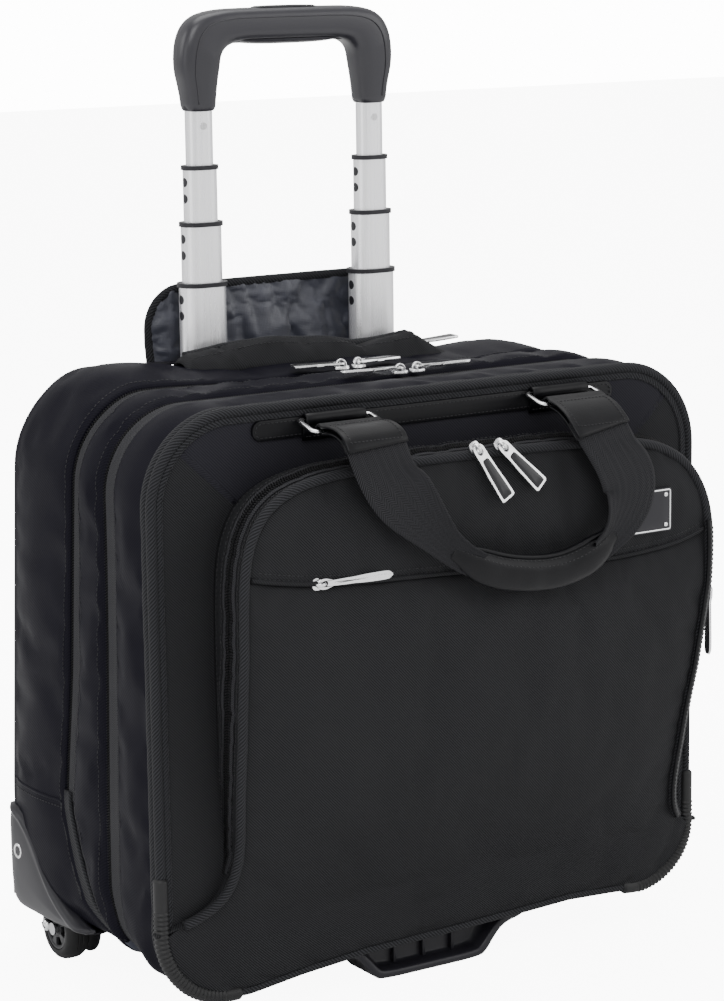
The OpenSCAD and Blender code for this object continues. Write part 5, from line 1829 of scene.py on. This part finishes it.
def pad(z1):
    """Swelling and notches under the crossbar, and the release key on top of it."""
    under = z1 - 22.8
    u, v = np.meshgrid(np.linspace(-1, 1, 61), np.linspace(-1, 1, 21), indexing="ij")
    crown = (1 - np.abs(u) ** 3.0) ** 0.5 * (1 - np.abs(v) ** 2.6) ** 0.5
    swell = np.stack([u * 43.0, TUBE_Y + v * 9.0, under + 1.4 - 3.6 * crown], -1)
    belly = grid_object("grip_belly", swell, swell[..., :2] * MM, flip=True)
    finish_piece(belly, "handle_grip", GRIP, ["grip_pad"])
    for side, tag in ((-1, "left"), (1, "right")):
        notch = rounded_rect(side * 42 - 3.4, side * 42 + 3.4, TUBE_Y - 6.5, TUBE_Y + 6.5, 1.6, 5)
        step = slab(f"grip_notch_{tag}", notch, np.array([0, 0, under + 0.6]), (1, 0, 0), (0, 1, 0),
                    (0, 0, -1), 1.3, 0.4)
        finish_piece(step, "handle_grip", SATIN)
    low, high = low_high("release_button")
    top = rounded_rect(low[0], high[0], TUBE_Y - 5, TUBE_Y + 5, 3.5, 6)
    button = slab("release_key", top, np.array([0, 0, high[2] - 5.0]), (1, 0, 0), (0, 1, 0), (0, 0, 1), 5.4,
                  0.8, 0.3)
    finish_piece(button, "handle_release", SATIN, ["release_button"])
    gap = rounded_rect(low[0] - 0.9, high[0] + 0.9, TUBE_Y - 5.9, TUBE_Y + 5.9, 4.2, 6)
    line = np.column_stack([gap, np.full(len(gap), z1 + 0.35)])
    rim = sweep("release_key_rim", line, np.tile([0, 0, 1.0], (len(gap), 1)), flat_section(0.8, 0.7),
                closed=True)
    finish_piece(rim, "handle_grip", INLAY)


# ---------------------------------------------------------------- foot, wheels and guards
def foot():
    """Moulded front foot: a flared cup with a raised rim and a recessed tray."""
    low, high = low_high("front_foot")
    y0, y1 = low[1], high[1]
    outline = [(-80, 42.5), (-80, 27), (-77, 23.5), (-62, 20.5), (-54, 13), (-47, 3.5), (-41, 0), (0, 0)]
    hollow = [(-74, 42.5), (-73, 31), (-69, 27.5), (-58, 25), (-50, 17), (-43, 8.5), (-38, 5.5), (0, 5.5)]
    outer, inner = (resample(both_sides(smooth_path(v, 2)), count=120)[0] for v in (outline, hollow))
    mid = outer * 0.5 + inner * 0.5
    stations = [(outer, y1), (outer, y0 + 3.0), (outer, y0 + 0.8), (outer * 0.86 + inner * 0.14, y0),
                (mid, y0 - 0.7), (outer * 0.14 + inner * 0.86, y0), (inner, y0 + 1.2), (inner, y0 + 9.0),
                (inner * [0.93, 1.0] + [0, 1.6], y0 + 12.5)]
    pts = np.array([np.column_stack([s[:, 0], np.full(120, y), s[:, 1]]) for s, y in stations])
    back = pts[-1]
    for f in (0.97, 0.5, 0.02):
        closing = np.column_stack([back[:, 0] * (0.6 + 0.4 * f), np.full(120, y0 + 13.0),
                                   42.5 - (42.5 - back[:, 2]) * f])
        pts = np.concatenate([pts, closing[None]], 0)
    uv = np.stack(np.meshgrid(np.arange(pts.shape[0]) * 3.0, np.linspace(0, 220, 120), indexing="ij"),
                  -1) * MM
    obj = grid_object("foot_cup", pts, uv, flip=True)
    finish_piece(obj, "case", SATIN, ["front_foot"], thick=1.6)
    shade_by_angle(obj, 50)
    for s in (-1, 1):
        block = slab(f"foot_block_{'l' if s < 0 else 'r'}",
                     rounded_rect(s * 56 - 9, s * 56 + 9, 26, 41, 2.5, 6),
                     np.array([0, y0 + 13.5, 0]), (1, 0, 0), (0, 0, 1), (0, -1, 0), 9.0, 1.0)
        finish_piece(block, "case", SATIN)
    sole = slab("foot_sole", rounded_rect(-39, 39, y0 + 2, y1 - 2, 4, 6), np.array([0, 0, 1.3]), (1, 0, 0),
                (0, 1, 0), (0, 0, -1), 1.3, 0.5)
    finish_piece(sole, "case", RUBBER)
    for k, x in enumerate((-24, 0, 24)):
        rib = slab(f"foot_rib_{k}", rounded_rect(x - 1.2, x + 1.2, 6.5, 41, 0.8, 4),
                   np.array([0, y0 + 13.2, 0]), (1, 0, 0), (0, 0, 1), (0, -1, 0), 4.0, 0.4)
        finish_piece(rib, "case", SATIN)


WHEEL_X, WHEEL_Y, WHEEL_R, WHEEL_W = 196.0, 76.0, 22.5, 18.0


def wheels():
    """Tyres, hubs with five spokes, and the axle caps."""
    for s, tag in ((-1, "left"), (1, "right")):
        body = f"{tag}_wheel"
        h = WHEEL_W / 2
        where = (s * WHEEL_X, WHEEL_Y, WHEEL_R)
        prof = [(15.2, -h + 0.4), (17.5, -h), (19.0, -h + 0.5), (21.0, -h + 2.2), (22.2, -h + 4.6),
                (22.5, -2.2), (22.1, -1.8), (22.1, -1.2), (22.5, -0.8), (22.5, 0.8), (22.1, 1.2),
                (22.1, 1.8), (22.5, 2.2), (22.2, h - 4.6), (21.0, h - 2.2), (19.0, h - 0.5), (17.5, h),
                (15.2, h - 0.4), (14.8, 0), (15.2, -h + 0.4)]
        tyre = lathe(f"tyre_tread_{tag}", prof, where, (s, 0, 0), 72)
        finish_piece(tyre, body, TYRE, [f"tyre_{tag}"])
        rim = [(12.8, -h + 1.6), (13.4, -h + 0.9), (14.6, -h + 0.7), (15.1, -h + 1.4), (15.1, h - 1.4),
               (14.6, h - 0.7), (13.4, h - 0.9), (12.8, h - 1.6), (12.4, h - 4.0), (12.4, -h + 4.0),
               (12.8, -h + 1.6)]
        hub_rim = lathe(f"hub_rim_{tag}", rim, where, (s, 0, 0), 64)
        finish_piece(hub_rim, body, HUB, [f"hub_{tag}"])
        core = [(3.1, -h + 0.8), (5.4, -h + 0.8), (6.0, -h + 1.4), (6.0, h - 2.6), (5.4, h - 1.2),
                (3.1, h - 1.0), (3.1, -h + 0.8)]
        hub_core = lathe(f"hub_core_{tag}", core, where, (s, 0, 0), 40)
        finish_piece(hub_core, body, HUB)
        disc_with_holes(s, tag, body, h)
        end = s * (WHEEL_X + h)
        cap = lathe(f"axle_cap_{tag}",
                    [(0, 3.6), (2.2, 3.4), (3.9, 2.4), (4.5, 1.2), (4.6, 0.2), (3.2, -0.4)],
                    (end, WHEEL_Y, WHEEL_R), (s, 0, 0), 32)
        finish_piece(cap, "case", NICKEL)
        slot = slab(f"axle_slot_{tag}", rounded_rect(-2.7, 2.7, -0.45, 0.45, 0.3, 3),
                    np.array([end + s * 3.35, WHEEL_Y, WHEEL_R]), (0, 0.8, 0.6), (0, -0.6, 0.8), (s, 0, 0),
                    0.35, 0.05)
        finish_piece(slot, "case", INLAY)


def disc_with_holes(s, tag, body, h):
    """The hub's outer disc: five rounded spokes between the core and the rim."""
    count, steps, rows = 5, 120, 9
    a = np.linspace(0, 2 * math.pi, steps, endpoint=False)
    r = np.linspace(5.6, 13.2, rows)
    verts, faces = [], []
    for ai in a:
        for ri in r:
            dish = 0.05 * (ri - 9) ** 2 * 0.3
            verts.append((s * (WHEEL_X + h - 2.4 - dish), WHEEL_Y + ri * math.cos(ai),
                          WHEEL_R + ri * math.sin(ai)))
    for i in range(steps):
        j = (i + 1) % steps
        for k in range(rows - 1):
            am, rm = a[i] + math.pi / steps, (r[k] + r[k + 1]) / 2
            phase = (am * count / (2 * math.pi)) % 1.0
            if abs(phase - 0.5) < 0.30 and 6.8 < rm < 12.4:
                continue
            faces.append((i * rows + k, j * rows + k, j * rows + k + 1, i * rows + k + 1))
    obj = make_object(f"hub_disc_{tag}", verts, faces)
    modifier(obj, "SOLIDIFY", thickness=2.6 * MM, offset=0.0)
    modifier(obj, "BEVEL", width=0.4 * MM, segments=2)
    finish_piece(obj, body, HUB)


# leaf-shaped side view of a wheel guard, as (Y, Z) from the front tip: upper edge, then lower edge
GUARD_TOP = [(4, 41.5), (12, 42.5), (22, 45.0), (34, 49.5), (45, 55.5), (55, 63), (64, 73), (73, 84),
             (83, 94), (94, 101.5), (106, 105.5), (118, 106.5)]
GUARD_LOW = [(4, 40.5), (12, 39.5), (24, 38.0), (40, 36.5), (56, 35.5), (72, 35), (88, 34.5), (104, 34.5),
             (114, 37.5), (119.5, 46), (121, 62), (121, 80), (120.5, 95), (118, 106.5)]


def guards():
    """Satin guards over the wheels: a domed leaf with a raised upper edge, turned in at the rear."""
    for s, tag in ((-1, "left"), (1, "right")):
        n, rows = 110, 26
        top, _ = resample(smooth_path(GUARD_TOP, 3), count=n)
        low, _ = resample(smooth_path(GUARD_LOW, 3), count=n)
        v = np.linspace(0, 1, rows)[:, None]
        yz = top[None] * (1 - v[..., None]) + low[None] * v[..., None]
        width = np.linalg.norm(top - low, axis=1)[None]
        d_top, d_low = v * width, (1 - v) * width
        raised = 2.0 * np.exp(-((d_top - 3.2) / 2.2) ** 2)
        swell = 4.2 * (1 - np.exp(-np.minimum(d_top, d_low) / 9.0))
        roll = 3.6 * np.exp(-(d_top / 1.3) ** 2) + 3.4 * np.exp(-(d_low / 1.6) ** 2)
        rear = smoothstep(90, 122, yz[..., 0])
        x = HALF_W + 0.6 + swell + raised - roll - 6.0 * rear ** 5.0
        pts = np.stack([s * x, yz[..., 0], yz[..., 1]], -1)
        first, last, far = pts[0].copy(), pts[-1].copy(), pts[-1] + [0, 0, 3.0]
        first[:, 0] = s * (HALF_W - 5.0)
        last[:, 0] = s * (HALF_W - 9.0)
        far[:, 0] = s * (WHEEL_X - WHEEL_W / 2 - 4.0)
        pts = np.concatenate([first[None], pts, last[None], far[None]], 0)
        obj = grid_object(f"guard_shell_{tag}", pts, pts[..., [1, 2]] * MM, flip=s > 0)
        finish_piece(obj, "case", SATIN, ["wheel_housings"] if s < 0 else (), thick=1.4)
        back_turn(s, tag)
        wheel_arch(s, tag)
        rivet(s, tag, obj)


def back_turn(s, tag):
    """The guard's return across the rear face of the case."""
    z = np.linspace(105, 38, 26)
    pts = []
    for zi in z:
        reach = 10 + 34.0 * float(smoothstep(106, 70, zi))
        x = np.array([HALF_W - 1.0, HALF_W - 6.0, HALF_W - 12.0, HALF_W - 14.0 - reach * 0.5,
                      HALF_W - 13.0 - reach, HALF_W - 14.5 - reach])
        y = np.array([120.4, 121.6, 122.2, 122.2, 120.5, 112.0])
        pts.append(np.column_stack([s * x, y, np.full(6, zi) - np.array([0, 0, 0, 1, 3, 4]) * 0.8]))
    pts = np.array(pts)
    obj = grid_object(f"guard_return_{tag}", pts, pts[..., [0, 2]] * MM, flip=s < 0)
    finish_piece(obj, "case", SATIN, thick=1.4)


def wheel_arch(s, tag):
    """The dark wheel well: an arched liner and the inner wall that holds the axle."""
    x = np.array([WHEEL_X + WHEEL_W / 2 + 6, WHEEL_X, WHEEL_X - WHEEL_W / 2 - 4]) * s
    a = np.radians(np.linspace(28, 152, 30))
    r = WHEEL_R + 3.6
    pts = np.array([[(xi, WHEEL_Y + r * math.cos(k), WHEEL_R + r * math.sin(k)) for xi in x] for k in a])
    obj = grid_object(f"wheel_well_{tag}", pts, pts[..., [0, 1]] * MM, flip=s < 0)
    finish_piece(obj, "case", SATIN, thick=1.5)
    wall = lathe(f"wheel_wall_{tag}", [(3.3, 0), (12, 0.0), (20.5, 0.4), (20.5, 2.2), (3.3, 2.2)],
                 (s * (WHEEL_X - WHEEL_W / 2 - 5.5), WHEEL_Y, WHEEL_R), (-s, 0, 0), 48)
    finish_piece(wall, "case", SATIN)


def rivet(s, tag, shell):
    """Eyelet on a guard, laid on its surface."""
    p, n = drape(shell, np.array([[s * HALF_W, 98.0, 76.0]]), np.array([[float(s), 0, 0]]), reach=20)
    eyelet = lathe(f"rivet_ring_{tag}",
                   [(3.0, 0.9), (3.6, 1.5), (4.8, 1.7), (5.9, 1.1), (6.3, 0.2), (6.3, -2.0)], p[0],
                  n[0], 32)
    finish_piece(eyelet, "case", NICKEL, ["housing_rivets"] if s < 0 else ())
    core = lathe(f"rivet_core_{tag}", [(0, 1.1), (2.2, 1.0), (3.2, 0.6)], p[0], n[0], 24)
    finish_piece(core, "case", SATIN)


# ---------------------------------------------------------------- hard CAD parts that stay in view
BUSHINGS = ("outer_bushings", "stage_1_bushings", "stage_2_bushings", "stage_3_bushings")
CAD_FINISH = {
    TUBE: ("outer_tubes", "stage_1_tubes", "stage_2_tubes", "stage_3_tubes", "top_tubes"),
    SATIN: BUSHINGS + ("handle_cup", "handle_base"),
    STEEL: ("axles", "foot_screws", "release_rods"),
    BOARD: ("base_board", "back_board"),
    TWILL: ("bottom_panel",),
    LINING: ("laptop_sleeve", "divider_panel", "organiser_panel"),
    NICKEL: ("grip_rivets",),
}
SOFT_EDGE = BUSHINGS + ("handle_cup",)


def cad_finishes():
    """Materials and small bevels for the CAD parts that stay in view."""
    for material, nodes in CAD_FINISH.items():
        for node in nodes:
            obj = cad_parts[node]
            obj.data.materials.clear()
            obj.data.materials.append(material)
            if node in SOFT_EDGE:
                modifier(obj, "BEVEL", width=0.7 * MM, segments=2, limit_method="ANGLE",
                         angle_limit=math.radians(40))


# ---------------------------------------------------------------- how the soft case has settled
HARD_PIECES = ("guard_", "rivet_", "wheel_", "tyre_", "hub_", "grip_", "release_", "foot_")
ARCH_X = [-215, -150, -110, -60, 0, 60, 110, 150, 190, 215]
ARCH_Z = [0, 0, 5, 9, 10, 12, 14, 12, 8, 5]


def settle():
    """The loaded rear compartment leans back towards its foot, and its top is a little uneven."""
    for obj in MADE:
        if obj.name.startswith(HARD_PIECES):
            continue
        co = np.empty(len(obj.data.vertices) * 3, np.float32)
        obj.data.vertices.foreach_get("co", co)
        p = co.reshape(-1, 3) / MM - SHIFT
        x, y, z = p.T
        lean = np.interp(z, [0, 60, 118, 350, 395, 405, 420], [10, 12, 13.0, -6.0, -5.0, -2.5, 0])
        lift = 7.0 * np.exp(-((x + 152) / 48) ** 2) - 5.0 * np.exp(-((x - 105) / 60) ** 2)
        top = smoothstep(362, 404, z) * smoothstep(430, 412, z) * smoothstep(-10, 50, y)
        p = np.column_stack([x, y + lean * smoothstep(-35, 16, y), z + lift * top])
        p[:, 2] += np.interp(x, ARCH_X, ARCH_Z) * smoothstep(84, 26, z) * smoothstep(-52, -84, y)
        obj.data.vertices.foreach_set("co", ((p + SHIFT) * MM).astype(np.float32).ravel())
        obj.data.update()


# ---------------------------------------------------------------- studio and camera
VIEW_AZ, VIEW_EL, VIEW_ROLL = -32.78, 10.99, -0.75
VIEW_DISTANCE, VIEW_FOCAL = 2060.8, 2961.2
VIEW_TARGET = np.array([5.8, 0.0, 314.1])
LONG_SIDE = 1001.0
FLOOR_HALF = 9.0                    # metres


def studio():
    """Pale floor and world, and six soft lights. Sizes and places are metres here."""
    floor = bpy.data.meshes.new("floor")
    corners = [(x * FLOOR_HALF, y * FLOOR_HALF, 0) for x, y in ((-1, -1), (1, -1), (1, 1), (-1, 1))]
    floor.from_pydata(corners, [], [(0, 1, 2, 3)])
    obj = bpy.data.objects.new("floor", floor)
    bpy.context.scene.collection.objects.link(obj)
    m = new_material("pale floor", (0.9, 0.9, 0.9), 0.7, specular=0.1)
    n = Nodes(m)
    seen = n.add("ShaderNodeLightPath")
    glow = n.add("ShaderNodeMath", operation="MULTIPLY")
    glow.inputs[1].default_value = 9.0
    m.node_tree.links.new(seen.outputs["Is Camera Ray"], glow.inputs[0])
    n.bsdf.inputs["Emission Color"].default_value = (1, 1, 1, 1)
    m.node_tree.links.new(glow.outputs[0], n.bsdf.inputs["Emission Strength"])
    obj.data.materials.append(m)
    world = bpy.data.worlds.new("studio")
    bpy.context.scene.world = world
    world.use_nodes = True
    tree = world.node_tree
    back = tree.nodes["Background"]
    back.inputs[0].default_value = (1, 1, 1, 1)
    ray = tree.nodes.new("ShaderNodeLightPath")
    level = tree.nodes.new("ShaderNodeMapRange")
    level.inputs[3].default_value, level.inputs[4].default_value = 1.0, 14.0
    tree.links.new(ray.outputs["Is Camera Ray"], level.inputs[0])
    tree.links.new(level.outputs[0], back.inputs[1])
    for name, place, size, power, aim in (
            ("key", (-1.5, -1.9, 2.3), 1.6, 46, (0, 0, 0.25)),
            ("front panel", (0.3, -2.8, 0.9), 1.3, 3, (0, 0, 0.5)),
            ("side panel", (-2.7, -0.7, 0.9), 1.3, 9, (0, 0, 0.5)),
            ("fill", (2.0, -1.7, 1.4), 1.8, 26, (0, 0, 0.25)),
            ("top", (0.1, 0.3, 2.7), 1.8, 46, (0, 0, 0.2)),
            ("rim", (-2.0, 1.3, 1.4), 1.2, 14, (0, 0, 0.3))):
        data = bpy.data.lights.new(name, "AREA")
        data.size, data.energy = size, power
        lamp = bpy.data.objects.new(name, data)
        lamp.location = place
        lamp.rotation_euler = (Vector(aim) - Vector(place)).to_track_quat("-Z", "Y").to_euler()
        bpy.context.scene.collection.objects.link(lamp)


def camera():
    """Camera at the photo's angle and focal length."""
    az, el = math.radians(VIEW_AZ), math.radians(VIEW_EL)
    back = np.array([math.sin(az) * math.cos(el), -math.cos(az) * math.cos(el), math.sin(el)])
    place = (VIEW_TARGET + back * VIEW_DISTANCE + SHIFT) * MM
    data = bpy.data.cameras.new("camera")
    data.sensor_width = 36.0
    data.lens = VIEW_FOCAL * 36.0 / LONG_SIDE
    cam = bpy.data.objects.new("camera", data)
    cam.location = place
    turn = Vector(-back).to_track_quat("-Z", "Y")
    cam.rotation_euler = turn.to_euler()
    cam.rotation_euler.rotate_axis("Z", math.radians(VIEW_ROLL))
    bpy.context.scene.collection.objects.link(cam)
    bpy.context.scene.camera = cam


# ---------------------------------------------------------------- build
middle_section()
rear_section()
zip_run("main_zip", main_zip_y(), "front_section", "case", LEFT_LOW + 1, LOW_RIGHT)
zip_run("rear_zip", rear_zip_y(), "case", "case", ZIP_END_LEFT, ZIP_END_RIGHT)
front_gusset()
front_face()
main_piping()
corner_guards()
pocket()
yoke()
ring_frames()
strap_body()
badge()
zip_pulls()
well()
lip()
flap()
grip()
foot()
wheels()
guards()
settle()
cad_finishes()
studio()
camera()
